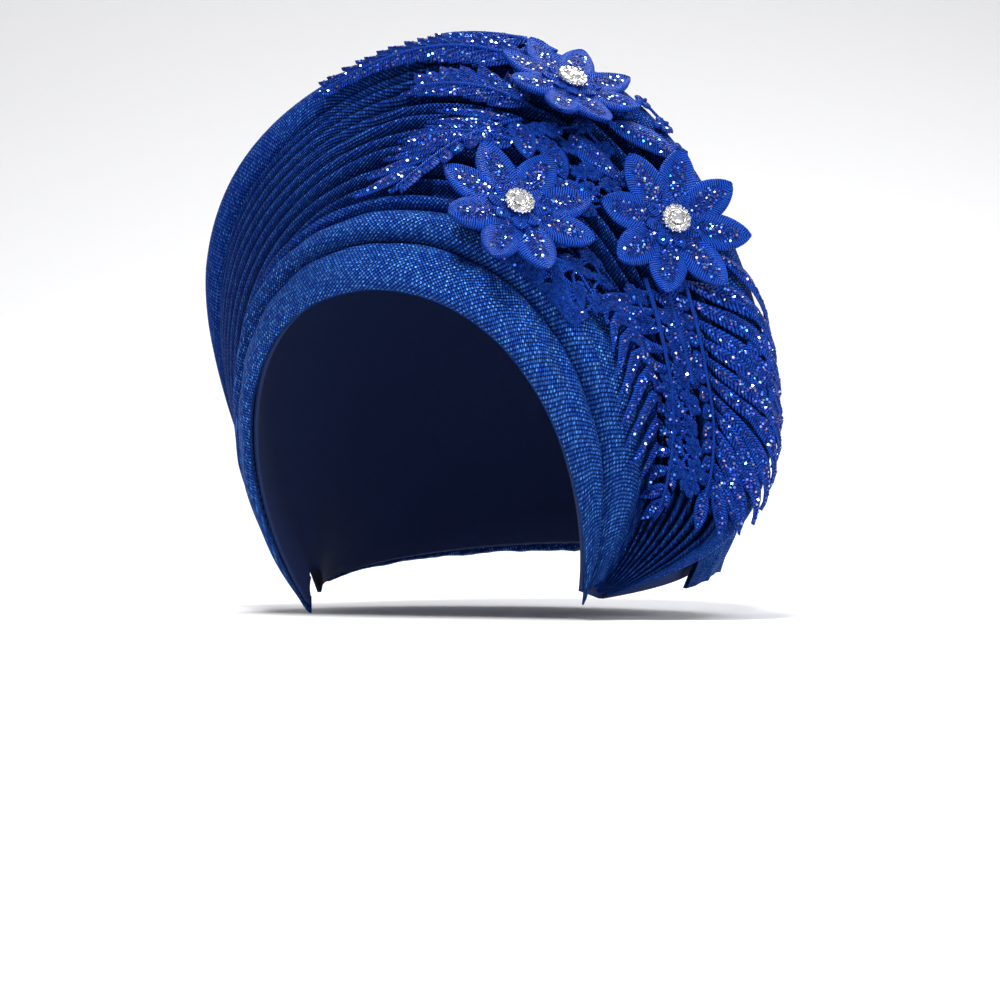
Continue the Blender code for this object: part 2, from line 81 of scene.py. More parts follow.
# The head, and the walls and gaps of the cloth laid over it, in metres and degrees
CAP_WALL = 0.002
CAP_FIT = 0.0008
SEAT_GAP = 0.0004
SEAT = CAP_FIT + CAP_WALL + SEAT_GAP
CLOTH_WALL = 0.0022
BACK_WALL = 0.002
RIM_GAP = 0.0006
HEAD_HALF_WIDTH = 0.0775
HEAD_HALF_LENGTH = 0.0945
CROWN_HEIGHT = 0.0875
NAPE_DEPTH = 0.105
NAPE_ANGLE = 216.0
TEMPLE_NARROWING = 0.17
FOOT_OUT = 0.057
FOOT_FORWARD = 0.026
HEM_FOOT_DROP = 0.0945
FOOT_DROP = 0.0835

# The fan
PLEATS = 9
PLEAT_DEPTH_SHARE = 0.42
FAN_BULGE_SHARE = 0.05
RIM_FOLD = 0.0165
FAN_START = 3.2
HOOP_END = 0.03
BAND_END = 0.016
FAN_END = 0.012
CROWN_END = 0.02
EAR_ARCH = 0.075

# The weave, and the lace worked over it
THREAD_PITCH = 0.0011
STITCH_PITCH = 0.0010
SEQUIN_ACROSS = 0.00115
LACE_LIFT = 0.0011
BUTTON_ACROSS = 0.0112
RING_STONES = 11
PETALS = 8

Edge = namedtuple("Edge", "left_foot left_side middle right_side right_foot")
EDGES = {
    "hem": Edge(30.7, 29.1, 18.9, 14.1, 8.0),
    "groove": Edge(55.7, 45.6, 30.7, 27.5, 20.1),
    "crease": Edge(120.0, 61.5, 37.7, 31.0, 30.0),
    "roll_top": Edge(124.0, 65.0, 41.0, 34.0, 33.0),
}

# How each band stands off the cap across its width, in metres
Section = namedtuple("Section", "across height")
BANDS = {
    "front_band": [Section(0.0, 0.0040), Section(0.30, 0.0062), Section(0.65, 0.0060), Section(1.0, 0.0036)],
    "upper_band": [Section(0.0, 0.0072), Section(0.25, 0.0094), Section(0.65, 0.0092), Section(1.0, 0.0066)],
    "band_roll": [Section(0.0, 0.0088), Section(0.45, 0.0100), Section(1.0, 0.0080)],
}

# Soft creases pressed into the bands: where across and along they run, how wide and how deep
Crease = namedtuple("Crease", "across drift share reach width depth")
CREASES = {
    "front_band": [
        Crease(0.62, -0.10, 0.30, 0.16, 0.07, 0.0009),
        Crease(0.30, 0.05, 0.62, 0.12, 0.06, 0.0006),
    ],
    "upper_band": [
        Crease(0.42, 0.22, 0.27, 0.15, 0.05, 0.0022),
        Crease(0.74, 0.10, 0.21, 0.12, 0.05, 0.0018),
        Crease(0.55, -0.15, 0.66, 0.12, 0.07, 0.0010),
    ],
    "band_roll": [],
}

Hoop = namedtuple("Hoop", "back up left right foot_out foot_back foot_drop turn tilt_left tilt_right square")
RIM = Hoop(-0.010, 0.1320, 0.121, 0.1035, 0.0655, -0.020, 0.0825, 0.45, 0.36, 0.175, 1.85)

BackRow = namedtuple("BackRow", "across angle swing lift")
BACK_ROWS = [
    BackRow(0.16, 103.0, 24.0, 0.0275),
    BackRow(0.32, 121.0, 18.0, 0.0245),
    BackRow(0.48, 140.0, 12.0, 0.0205),
    BackRow(0.64, 160.0, 7.0, 0.0160),
    BackRow(0.80, 182.0, 3.0, 0.0115),
    BackRow(0.91, 200.0, 0.0, 0.0080),
    BackRow(1.00, 215.0, 0.0, 0.0055),
]
BACK_FOOT_LIFT = 0.30
BACK_FOOT_OUT = 0.008
BACK_FOOT_BACK = 0.014

Flower = namedtuple("Flower", "share across lift tip_up spin radius")
FLOWERS = {
    "flower_top": Flower(0.417, 0.838, 0.0060, 0.42, 0.15, 0.0290),
    "flower_middle": Flower(0.353, 0.045, 0.0046, 0.0, 0.35, 0.0310),
    "flower_side": Flower(0.318, 0.780, 0.0056, 0.0, 0.20, 0.0310),
}

# Sprays: the stem runs from one place on the trimmed face to another, with leaflets each side
Frond = namedtuple("Frond", "node share across tip_share tip_across leaves left right lean width")
FRONDS = {
    "spray_top": Frond("frond_top", 0.450, 0.90, 0.605, 0.92, 15, 0.0160, 0.0140, 34.0, 0.0025),
    "spray_top_over": Frond(None, 0.440, 0.99, 0.520, 1.04, 6, 0.0100, 0.0100, 36.0, 0.0026),
    "spray_crown": Frond("frond_crown", 0.425, 0.70, 0.515, 0.74, 9, 0.0140, 0.0150, 38.0, 0.0026),
    "spray_middle": Frond("frond_middle", 0.422, 0.58, 0.462, 0.02, 8, 0.0265, 0.0100, 54.0, 0.0028),
    "spray_middle_over": Frond(None, 0.405, 0.42, 0.485, 0.30, 6, 0.0110, 0.0120, 34.0, 0.0028),
    "spray_inner": Frond("frond_inner", 0.278, 0.40, 0.092, 0.34, 12, 0.0, 0.0095, 46.0, 0.0024),
    "spray_centre": Frond(None, 0.286, 0.56, 0.205, 0.52, 8, 0.0080, 0.0090, 26.0, 0.0022),
    "spray_outer": Frond("frond_outer", 0.290, 0.72, 0.128, 0.76, 12, 0.0105, 0.0280, 60.0, 0.0029),
    "spray_rim": Frond(None, 0.262, 1.02, 0.190, 1.06, 6, 0.0075, 0.0100, 40.0, 0.0027),
}

# Pierced lace: small blossoms joined by bars, each at its share and its place across the face
Net = namedtuple("Net", "node radius spots")
NETS = {
    "net_middle": Net("ground_middle", 0.0044, [
        (0.326, -0.73), (0.306, -0.20), (0.312, -0.78), (0.300, -0.56), (0.294, -0.96), (0.281, -0.26),
        (0.277, -0.92), (0.273, -0.50), (0.273, -0.02), (0.263, -0.80), (0.255, -0.31), (0.249, -0.72),
        (0.238, -0.17), (0.265, 0.06), (0.290, 0.10), (0.284, 0.00), (0.330, -0.40), (0.344, -0.62),
    ]),
    "net_side": Net("ground_side", 0.0042, [
        (0.216, 0.45), (0.204, 0.42), (0.193, 0.28), (0.189, 0.48), (0.179, 0.30), (0.171, 0.46),
        (0.163, 0.28), (0.157, 0.51), (0.149, 0.32), (0.144, 0.58), (0.134, 0.38), (0.130, 0.56),
    ]),
    "net_upper": Net("ground_upper", 0.0044, [
        (0.352, 0.70), (0.374, 0.74), (0.364, 0.56), (0.385, 0.60), (0.394, 0.76), (0.368, 0.90),
        (0.388, 0.92), (0.404, 0.62),
    ]),
    "net_lower": Net(None, 0.0043, [
        (0.262, 0.26), (0.250, 0.44), (0.240, 0.24), (0.230, 0.44), (0.222, 0.60),
    ]),
    "net_between": Net(None, 0.0042, [
        (0.338, 0.34), (0.352, 0.46), (0.336, 0.52), (0.350, 0.60), (0.366, 0.50), (0.380, 0.44),
        (0.366, 0.30), (0.396, 0.50), (0.410, 0.56), (0.342, 0.88), (0.356, 0.98), (0.372, 1.04),
        (0.388, 1.06), (0.358, 0.80), (0.374, 0.66), (0.352, 0.34),
    ]),
}


# Single leaflets: where each starts and ends on the face, half its width and its height over the face
Leaf = namedtuple("Leaf", "share across tip_share tip_across width lift")
LEAVES = {
    "leaves_inner": [
        Leaf(0.268, 0.38, 0.238, -0.12, 0.0025, 0.0), Leaf(0.253, 0.37, 0.222, -0.32, 0.0026, 0.0),
        Leaf(0.238, 0.36, 0.205, -0.52, 0.0027, 0.0), Leaf(0.222, 0.36, 0.187, -0.70, 0.0027, 0.0),
        Leaf(0.206, 0.35, 0.167, -0.86, 0.0027, 0.0), Leaf(0.190, 0.35, 0.150, -0.90, 0.0026, 0.0),
        Leaf(0.174, 0.34, 0.134, -0.84, 0.0026, 0.0), Leaf(0.158, 0.34, 0.120, -0.66, 0.0026, 0.0),
        Leaf(0.143, 0.34, 0.107, -0.46, 0.0025, 0.0), Leaf(0.129, 0.33, 0.096, -0.26, 0.0025, 0.0),
        Leaf(0.116, 0.33, 0.086, -0.04, 0.0025, 0.0), Leaf(0.105, 0.34, 0.080, 0.16, 0.0024, 0.0),
    ],
    "leaves_outer": [
        Leaf(0.300, 0.90, 0.262, 1.22, 0.0029, 0.0006), Leaf(0.285, 0.86, 0.243, 1.24, 0.0029, 0.0006),
        Leaf(0.268, 0.86, 0.224, 1.25, 0.0029, 0.0006), Leaf(0.250, 0.86, 0.205, 1.25, 0.0029, 0.0006),
        Leaf(0.232, 0.86, 0.187, 1.25, 0.0029, 0.0006), Leaf(0.214, 0.86, 0.170, 1.24, 0.0029, 0.0006),
        Leaf(0.196, 0.86, 0.154, 1.22, 0.0029, 0.0006), Leaf(0.178, 0.85, 0.140, 1.18, 0.0028, 0.0006),
        Leaf(0.161, 0.82, 0.125, 1.10, 0.0028, 0.0006), Leaf(0.145, 0.78, 0.110, 1.00, 0.0027, 0.0006),
        Leaf(0.134, 0.72, 0.102, 0.84, 0.0027, 0.0006),
    ],
    "leaves_between": [
        Leaf(0.392, 0.66, 0.352, 0.66, 0.0056, 0.0004), Leaf(0.398, 0.52, 0.364, 0.38, 0.0052, 0.0004),
        Leaf(0.386, 0.84, 0.348, 0.96, 0.0054, 0.0004), Leaf(0.420, 0.54, 0.392, 0.34, 0.0050, 0.0004),
        Leaf(0.372, 0.28, 0.340, 0.44, 0.0046, 0.0002),
    ],
}


# Hoops and folds

def smooth_between(keys, values, where):
    """Smooth values between a few keys; the first axis of values runs along the keys."""
    keys = np.asarray(keys, float)
    values = np.asarray(values, float)
    spread = (-1,) + (1,) * (values.ndim - 1)
    step = np.diff(keys).reshape(spread)
    rate = np.diff(values, axis=0) / step
    slope = np.empty_like(values)
    slope[0], slope[-1] = rate[0], rate[-1]
    slope[1:-1] = (rate[:-1] * step[1:] + rate[1:] * step[:-1]) / (step[1:] + step[:-1])
    where = np.clip(where, keys[0], keys[-1])
    i = np.clip(np.searchsorted(keys, where, side="right") - 1, 0, len(keys) - 2)
    width = keys[i + 1] - keys[i]
    t = (where - keys[i]) / width
    extra = (1,) * (values.ndim - 1)
    t = np.reshape(t, np.shape(t) + extra)
    width = np.reshape(width, np.shape(width) + extra)
    a = (1 + 2 * t) * (1 - t) ** 2
    b = t * (1 - t) ** 2
    c = t * t * (3 - 2 * t)
    d = t * t * (t - 1)
    return a * values[i] + b * width * slope[i] + c * values[i + 1] + d * width * slope[i + 1]


def hoop_point(hoop, share):
    """Points of a hoop through both feet: half an ellipse and a little more, in a plane on the feet."""
    left_side = share < 0.5
    half = np.where(left_side, hoop.left, hoop.right)
    tilt = np.where(left_side, hoop.tilt_left, -hoop.tilt_right)
    tuck = np.sqrt(1 - (hoop.foot_out / half) ** 2)
    rise = hoop.up + hoop.foot_drop
    start = np.arcsin(tuck)
    sweep = (math.pi / 2 + start) * (1 - np.abs(2 * share - 1)) - start
    above = sweep > 0
    flat = np.abs(np.cos(sweep))
    high = np.sin(sweep)
    flat = np.where(above, flat ** (2 / hoop.square), flat)
    high = np.where(above, np.abs(high) ** (2 / hoop.square), high)
    across = half * flat
    along = (tuck + high) / (1 + tuck)
    side = np.where(left_side, across, -across)
    back = hoop.foot_back + along * (hoop.back - hoop.foot_back) + hoop.turn * side * along
    up = along * rise - hoop.foot_drop - tilt * across * 4 * along * (1 - along)
    return np.stack(np.broadcast_arrays(side, back, up), axis=-1)


def head_point(angle, share, lift, foot_out=0.0, foot_back=0.0):
    """A point lift above the head, at an angle in degrees over it and a share along the hoop."""
    turn = np.radians(angle)
    rise = np.where(np.sin(turn) > 0, CROWN_HEIGHT, NAPE_DEPTH) + lift
    half = (HEAD_HALF_WIDTH + lift) * (1 - TEMPLE_NARROWING * np.maximum(np.cos(turn), 0) ** 2)
    back = -(HEAD_HALF_LENGTH + lift) * np.cos(turn)
    drop = np.interp(angle, [15.0, 50.0], [HEM_FOOT_DROP, FOOT_DROP])
    out = FOOT_OUT + lift + foot_out
    up = rise * np.sin(turn)
    return hoop_point(Hoop(back, up, half, half, out, foot_back - FOOT_FORWARD, drop, 0, 0, 0, 2.0), share)


def edge_angle(name, share):
    """The angle over the head of a named fold's edge."""
    return smooth_between([0.0, 0.25, 0.5, 0.75, 1.0], EDGES[name], share)


def unit(vectors):
    return vectors / np.linalg.norm(vectors, axis=-1, keepdims=True)


def turned(first, second, turn):
    """The ways outwards and beside, at a turn in the plane of two square ways."""
    way = first * math.cos(turn) + second * math.sin(turn)
    beside = second * math.cos(turn) - first * math.sin(turn)
    return way, beside


def foot_taper(share):
    """How much of its full thickness a fold keeps as it runs into the feet."""
    near = np.minimum(share, 1 - share)
    return 0.35 + 0.65 * np.clip((near - HOOP_END) / 0.13, 0, 1)


def bulge(across):
    return FAN_BULGE_SHARE * 4 * across * (1 - across)


def fan_section(share):
    """At shares along the hoop: the fan's start, its way out, its facing, fold radius and pleated width."""
    start = head_point(edge_angle("roll_top", share) + FAN_START, share, SEAT + CLOTH_WALL + 0.0008)
    rim = hoop_point(RIM, share)
    fine = 0.004
    along = hoop_point(RIM, np.clip(share + fine, 0, 1)) - hoop_point(RIM, np.clip(share - fine, 0, 1))
    out = unit(rim - start)
    width = np.linalg.norm(rim - start, axis=-1, keepdims=True)
    facing = unit(np.cross(out, unit(along)))
    near = np.minimum(share, 1 - share)[..., None] if np.ndim(share) else min(share, 1 - share)
    thin = 0.15 + 0.13 * np.clip((near - 0.10) / 0.15, 0, 1)
    radius = np.minimum(RIM_FOLD, width * thin) / 2
    return start, out, facing, radius, width - 1.75 * radius


def rim_centre(share):
    start, out, facing, radius, pleated = fan_section(share)
    return start + out * (pleated + radius * 0.88) - facing * radius * 0.2


def back_point(across, share, lift):
    """Points on the crown cloth, 0 under the rim and 1 at the nape; lift is out from the head."""
    start, out, facing, radius, pleated = fan_section(share)
    rows = [rim_centre(share) + out * radius * 0.1 - facing * (radius + RIM_GAP)]
    ease = BACK_FOOT_LIFT + (1 - BACK_FOOT_LIFT) * 2 * np.minimum(share, 1 - share)
    for row in BACK_ROWS:
        angle = row.angle + row.swing * np.sin(2 * math.pi * share)
        height = SEAT + BACK_WALL * 1.2 + row.lift * ease
        rows.append(head_point(angle, share, height, BACK_FOOT_OUT, BACK_FOOT_BACK))
    keys = [0.0] + [row.across for row in BACK_ROWS]
    point = np.array([smooth_between(keys, np.array(rows), float(a)) for a in across])
    return point + unit(point - np.array([0.0, 0.01, 0.0])) * lift


def face_grid(shares, acrosses):
    """The trimmed face over the tops of the folds: -1 at the groove, 0 on the roll, 1 at the rim."""
    groove = edge_angle("groove", shares)
    crease = edge_angle("crease", shares)
    roll = edge_angle("roll_top", shares)
    thick = foot_taper(shares)
    start, out, facing, radius, pleated = fan_section(shares)
    rows = [
        head_point(groove * 0.86 + crease * 0.14, shares, SEAT + 0.0076 * thick),
        head_point(groove * 0.5 + crease * 0.5, shares, SEAT + 0.0096 * thick),
        head_point(crease * 0.6 + roll * 0.4, shares, SEAT + 0.0100 * thick),
    ]
    for spot, spare in ((0.12, 0.0020), (0.25, 0.0012), (0.5, 0.0002), (0.75, 0.0)):
        rise = (0.95 * PLEAT_DEPTH_SHARE / PLEATS + bulge(spot)) * pleated
        rows.append(start + out * pleated * spot + facing * (rise + spare))
    for degrees in (75, 20, -35):
        turn = math.radians(degrees)
        rows.append(rim_centre(shares) + (out * math.cos(turn) + facing * math.sin(turn)) * radius)
    keys = np.array([-1.0, -0.5, 0.0, 0.12, 0.25, 0.5, 0.75, 1.0, 1.15, 1.3])
    return np.array([smooth_between(keys, np.array(rows), float(a)) for a in acrosses])


class Face:
    """The trimmed face as a fine grid, for laying lace on it."""

    def __init__(self, share_steps=461, across_steps=241):
        self.shares = np.linspace(0.03, 0.97, share_steps)
        self.acrosses = np.linspace(-1.0, 1.3, across_steps)
        self.points = face_grid(self.shares, self.acrosses)
        self.along = np.gradient(self.points, self.shares, axis=1)
        self.out = np.gradient(self.points, self.acrosses, axis=0)
        self.facing = unit(np.cross(self.out, self.along))

    def sample(self, grid, share, across):
        """Values of a grid between its points."""
        x = (np.clip(share, 0.03, 0.97) - 0.03) / 0.94 * (len(self.shares) - 1)
        y = (np.clip(across, -1.0, 1.3) + 1.0) / 2.3 * (len(self.acrosses) - 1)
        i = np.clip(np.floor(x).astype(int), 0, len(self.shares) - 2)
        j = np.clip(np.floor(y).astype(int), 0, len(self.acrosses) - 2)
        s, t = (x - i)[..., None], (y - j)[..., None]
        low = grid[j, i] * (1 - s) + grid[j, i + 1] * s
        high = grid[j + 1, i] * (1 - s) + grid[j + 1, i + 1] * s
        return low * (1 - t) + high * t

    def lay(self, share, across, lift):
        facing = unit(self.sample(self.facing, share, across))
        return self.sample(self.points, share, across) + facing * lift[..., None]

    def frame_at(self, share, across):
        """The place, the ways along and outwards, the facing, and metres for one share and one across."""
        share, across = np.array(share), np.array(across)
        place = self.sample(self.points, share, across)
        along = self.sample(self.along, share, across)
        out = self.sample(self.out, share, across)
        facing = unit(np.cross(out, along))
        way = unit(along)
        return place, way, np.cross(way, facing), facing, np.linalg.norm(along), np.linalg.norm(out)


FACE = Face()


# Meshes

class Shape:
    """Points, faces, flat coordinates and bead weights gathered for one piece."""

    def __init__(self):
        self.points, self.faces, self.uvs, self.beads, self.slots = [], [], [], [], []
        self.count = 0

    def ring_grid(self, rows, uv=None, beads=None, slot=0, caps=True):
        """Adds a tube given as [round][along] points, closed round and capped at both ends."""
        around, length = rows.shape[:2]
        index = np.arange(around * length).reshape(around, length) + self.count
        following = np.roll(index, -1, axis=0)
        quads = np.stack([index[:, :-1], index[:, 1:], following[:, 1:], following[:, :-1]], axis=-1)
        self.faces += quads.reshape(-1, 4).tolist()
        if caps:
            self.faces.append(index[::-1, 0].tolist())
            self.faces.append(index[:, -1].tolist())
        self.slots += [slot] * (quads.shape[0] * quads.shape[1] + (2 if caps else 0))
        self.points.append(rows.reshape(-1, 3))
        self.uvs.append(np.zeros((around * length, 2)) if uv is None else uv.reshape(-1, 2))
        self.beads.append(np.zeros(around * length) if beads is None else beads.reshape(-1))
        self.count += around * length

    def add(self, points, faces, slot=0):
        self.faces += [[i + self.count for i in face] for face in faces]
        self.slots += [slot] * len(faces)
        self.points.append(np.asarray(points, float))
        self.uvs.append(np.zeros((len(points), 2)))
        self.beads.append(np.zeros(len(points)))
        self.count += len(points)

    def build(self, name, materials, smooth=True, extra=None):
        mesh = bpy.data.meshes.new(name)
        mesh.from_pydata(np.concatenate(self.points).tolist(), [], self.faces)
        uv = np.concatenate(self.uvs)
        corners = np.empty(len(mesh.loops), dtype=np.int32)
        mesh.loops.foreach_get("vertex_index", corners)
        layer = mesh.uv_layers.new(name="weave")
        layer.data.foreach_set("uv", uv[corners].astype(np.float32).ravel())
        bead = mesh.attributes.new("bead", "FLOAT", "POINT")
        bead.data.foreach_set("value", np.concatenate(self.beads).astype(np.float32))
        for label, values in (extra or {}).items():
            kind = "FLOAT_VECTOR" if np.ndim(values) > 1 else "FLOAT"
            layer = mesh.attributes.new(label, kind, "POINT")
            field = "vector" if kind == "FLOAT_VECTOR" else "value"
            layer.data.foreach_set(field, np.asarray(values, np.float32).ravel())
        for material in materials:
            mesh.materials.append(material)
        mesh.polygons.foreach_set("material_index", self.slots)
        mesh.polygons.foreach_set("use_smooth", [smooth] * len(mesh.polygons))
        mesh.update()
        piece = bpy.data.objects.new(name, mesh)
        bpy.context.scene.collection.objects.link(piece)
        return piece


def cloth_uv(rows):
    """Distances along and round a tube of cloth, in metres, from the middle of its length."""
    along = np.linalg.norm(np.diff(rows, axis=1), axis=-1)
    along = np.concatenate([np.zeros((rows.shape[0], 1)), np.cumsum(along, axis=1)], axis=1)
    along -= along[:, [rows.shape[1] // 2]]
    around = np.linalg.norm(np.diff(rows, axis=0), axis=-1)
    around = np.concatenate([np.zeros((1, rows.shape[1])), np.cumsum(around, axis=0)], axis=0)
    return np.stack([along, around], axis=-1)


# Materials

class Nodes:
    """Builds a material's nodes with short calls."""

    def __init__(self, name):
        self.material = bpy.data.materials.new(name)
        self.material.use_nodes = True
        self.tree = self.material.node_tree
        self.shader = self.tree.nodes["Principled BSDF"]

    def node(self, kind, **settings):
        node = self.tree.nodes.new(kind)
        for key, value in settings.items():
            setattr(node, key, value)
        return node

    def feed(self, socket, value):
        if isinstance(value, bpy.types.NodeSocket):
            self.tree.links.new(value, socket)
        else:
            socket.default_value = value

    def math(self, operation, a, b=0.0, c=0.0, clamp=False):
        node = self.node("ShaderNodeMath", operation=operation, use_clamp=clamp)
        for socket, value in zip(node.inputs, (a, b, c)):
            self.feed(socket, value)
        return node.outputs[0]

    def mix(self, factor, a, b):
        node = self.node("ShaderNodeMix", data_type="RGBA")
        self.feed(node.inputs[0], factor)
        self.feed(node.inputs[6], a)
        self.feed(node.inputs[7], b)
        return node.outputs[2]

    def ramp(self, factor, stops):
        node = self.node("ShaderNodeValToRGB")
        elements = node.color_ramp.elements
        while len(elements) < len(stops):
            elements.new(0.5)
        for element, (place, colour) in zip(elements, stops):
            element.position = place
            element.color = colour
        self.feed(node.inputs[0], factor)
        return node.outputs[0]

    def noise(self, vector, scale, detail=2.0):
        node = self.node("ShaderNodeTexNoise")
        self.feed(node.inputs["Vector"], vector)
        node.inputs["Scale"].default_value = scale
        node.inputs["Detail"].default_value = detail
        return node.outputs[0]

    def bump(self, height, strength, distance, normal=None):
        node = self.node("ShaderNodeBump")
        node.inputs["Strength"].default_value = strength
        node.inputs["Distance"].default_value = distance
        self.feed(node.inputs["Height"], height)
        if normal is not None:
            self.feed(node.inputs["Normal"], normal)
        return node.outputs[0]

    def flat(self, scale, turn=0.0):
        """The piece's own flat coordinates, turned and divided by a pitch: two numbers and the pair."""
        uv = self.node("ShaderNodeUVMap", uv_map="weave")
        mapping = self.node("ShaderNodeMapping")
        mapping.inputs["Rotation"].default_value = (0, 0, math.radians(turn))
        mapping.inputs["Scale"].default_value = (1 / scale, 1 / scale, 1)
        self.feed(mapping.inputs["Vector"], uv.outputs[0])
        split = self.node("ShaderNodeSeparateXYZ")
        self.feed(split.inputs[0], mapping.outputs[0])
        return split.outputs[0], split.outputs[1], mapping.outputs[0]

    def surface(self, **values):
        for key, value in values.items():
            self.feed(self.shader.inputs[key.replace("_", " ")], value)
        return self.material


# Cloth colours: CLOTH_DARK is painted shade for the weave's dips, CLOTH_BLUE the yarn, CLOTH_GLINT a painted
# highlight on the metallic thread
CLOTH_DARK = (0.0002, 0.0020, 0.022, 1)
CLOTH_BLUE = (0.0011, 0.030, 0.370, 1)
CLOTH_GLINT = (0.105, 0.385, 1.000, 1)


def woven_cloth(name, turn, shine):
    """Basket weave of dark blue yarn with a metallic thread; uneven glints at the crossings are painted
    highlights in its colour, and the dips between threads and the pleat grooves get painted shade.
    """
    n = Nodes(name)
    u, v, pair = n.flat(THREAD_PITCH, turn)
    warp = n.math("ABSOLUTE", n.math("SINE", n.math("MULTIPLY", u, math.pi)))
    weft = n.math("ABSOLUTE", n.math("SINE", n.math("MULTIPLY", v, math.pi)))
    parity = n.math("PINGPONG", n.math("ADD", n.math("FLOOR", u), n.math("FLOOR", v)), 1.0)
    over = n.math("MULTIPLY", warp, n.math("MULTIPLY_ADD", weft, 0.45, 0.55))
    under = n.math("MULTIPLY", weft, n.math("MULTIPLY_ADD", warp, 0.45, 0.55))
    blend = n.node("ShaderNodeMix", data_type="FLOAT")
    n.feed(blend.inputs[0], parity)
    n.feed(blend.inputs[2], over)
    n.feed(blend.inputs[3], under)
    height = blend.outputs[0]
    cell = n.node("ShaderNodeTexWhiteNoise", noise_dimensions="2D")
    floor = n.node("ShaderNodeVectorMath", operation="FLOOR")
    n.feed(floor.inputs[0], pair)
    n.feed(cell.inputs["Vector"], floor.outputs[0])
    chance = n.math("POWER", cell.outputs[0], 1.8)
    # Painted highlights: CLOTH_GLINT is mixed into the colour on the thread tops, in random cells, stronger
    # on one thread of each pair; the same weight also makes the thread more metallic and smoother, which is
    # real; shine scales the painted glints
    glint = n.math("MULTIPLY", n.math("POWER", height, 2.2), n.math("MULTIPLY_ADD", parity, 0.65, 0.35))
    glint = n.math("MULTIPLY", glint, n.math("MULTIPLY_ADD", chance, 0.90, 0.12), clamp=True)
    glint = n.math("MULTIPLY", glint, shine)
    # Painted shade: the groove weight from the pleat rule darkens body and glint colour in the pleat grooves
    groove = n.node("ShaderNodeAttribute", attribute_name="groove").outputs["Fac"]
    painted_groove_shade = n.math("SUBTRACT", 1.0, n.math("MULTIPLY", n.math("POWER", groove, 0.6), 0.92), clamp=True)
    # Painted shade in the weave: the colour runs from CLOTH_DARK in the dips between threads to CLOTH_BLUE
    # on the thread tops
    body = n.mix(n.math("MULTIPLY", n.math("POWER", height, 2.0), painted_groove_shade), CLOTH_DARK, CLOTH_BLUE)
    colour = n.mix(n.math("MULTIPLY", glint, painted_groove_shade), body, CLOTH_GLINT)
    return n.surface(
        Base_Color=colour, Roughness=n.math("MULTIPLY_ADD", glint, -0.22, 0.52),
        Metallic=n.math("MULTIPLY_ADD", glint, 0.7, 0.25, clamp=True),
        Specular_IOR_Level=0.12, Specular_Tint=(0.15, 0.45, 1.0, 1), Normal=n.bump(height, 0.9, 0.00045),
    )


def satin_lace(name, base, light):
    """Corded lace: satin stitches slant out from a midrib, over a fuzzy ground, with painted sheen on the
    stitch crests and painted shade between them.
    """
    n = Nodes(name)
    u, v, _ = n.flat(STITCH_PITCH)
    slant = n.math("SUBTRACT", u, n.math("MULTIPLY", n.math("ABSOLUTE", v), 0.55))
    place = n.node("ShaderNodeTexCoord").outputs["Object"]
    wander = n.noise(place, 420.0, 3.0)
    phase = n.math("ADD", n.math("MULTIPLY", slant, math.pi), n.math("MULTIPLY", wander, 3.2))
    stitch = n.math("ABSOLUTE", n.math("SINE", phase))
    fuzz = n.noise(place, 2600.0, 2.0)
    patch = n.noise(place, 90.0)
    # Painted sheen and shade: stitch crests take the light colour, the dips between stitches the base colour
    colour = n.mix(n.math("POWER", stitch, 1.4), base, light)
    colour = n.mix(n.math("MULTIPLY", patch, 0.55), colour, base)
    # Darker towards the base colour where the bead weight is high, where the sequins are scattered
    darker_where_beaded = n.node("ShaderNodeAttribute", attribute_name="bead").outputs["Fac"]
    colour = n.mix(n.math("MULTIPLY", darker_where_beaded, 0.55), colour, base)
    height = n.math("ADD", stitch, n.math("MULTIPLY", fuzz, 0.35))
    return n.surface(
        Base_Color=colour, Roughness=0.5, Specular_IOR_Level=0.25, Specular_Tint=(0.15, 0.35, 1.0, 1),
        Normal=n.bump(height, 1.0, 0.0006),
    )


def sequin_film():
    """Iridescent film: each sequin has its own tint, from violet through cyan to silver."""
    n = Nodes("sequin_film")
    tint = n.node("ShaderNodeAttribute", attribute_name="tint").outputs["Fac"]
    colour = n.ramp(tint, [
        (0.0, (0.004, 0.016, 0.200, 1)),
        (0.50, (0.008, 0.050, 0.480, 1)),
        (0.70, (0.020, 0.220, 0.800, 1)),
        (0.82, (0.160, 0.120, 0.560, 1)),
        (0.93, (0.380, 0.260, 0.420, 1)),
        (1.0, (0.500, 0.800, 0.950, 1)),
    ])
    rough = n.math("MULTIPLY_ADD", tint, -0.12, 0.26)
    return n.surface(Base_Color=colour, Metallic=0.9, Roughness=rough, Coat_Weight=0.6, Coat_Roughness=0.08)


def plated_metal():
    n = Nodes("plated_metal")
    place = n.node("ShaderNodeTexCoord").outputs["Object"]
    worn = n.noise(place, 900.0)
    colour = n.mix(worn, (0.62, 0.61, 0.60, 1), (0.86, 0.85, 0.82, 1))
    return n.surface(Base_Color=colour, Metallic=1.0, Roughness=n.math("MULTIPLY_ADD", worn, 0.15, 0.14))


def cut_crystal():
    """Foil-backed crystal: bright and dark facet flashes are painted into its colour, a painted reflection.
    """
    n = Nodes("cut_crystal")
    place = n.node("ShaderNodeTexCoord").outputs["Object"]
    flash = n.node("ShaderNodeTexVoronoi", feature="F1")
    n.feed(flash.inputs["Vector"], place)
    flash.inputs["Scale"].default_value = 1500.0
    # Painted reflection: Voronoi cells turn the colour near white or grey, as flashes off the facets
    colour = n.mix(flash.outputs["Distance"], (0.98, 0.98, 1.0, 1), (0.42, 0.44, 0.48, 1))
    return n.surface(Base_Color=colour, Metallic=0.75, Roughness=0.06, Coat_Weight=1.0, Coat_Roughness=0.02)


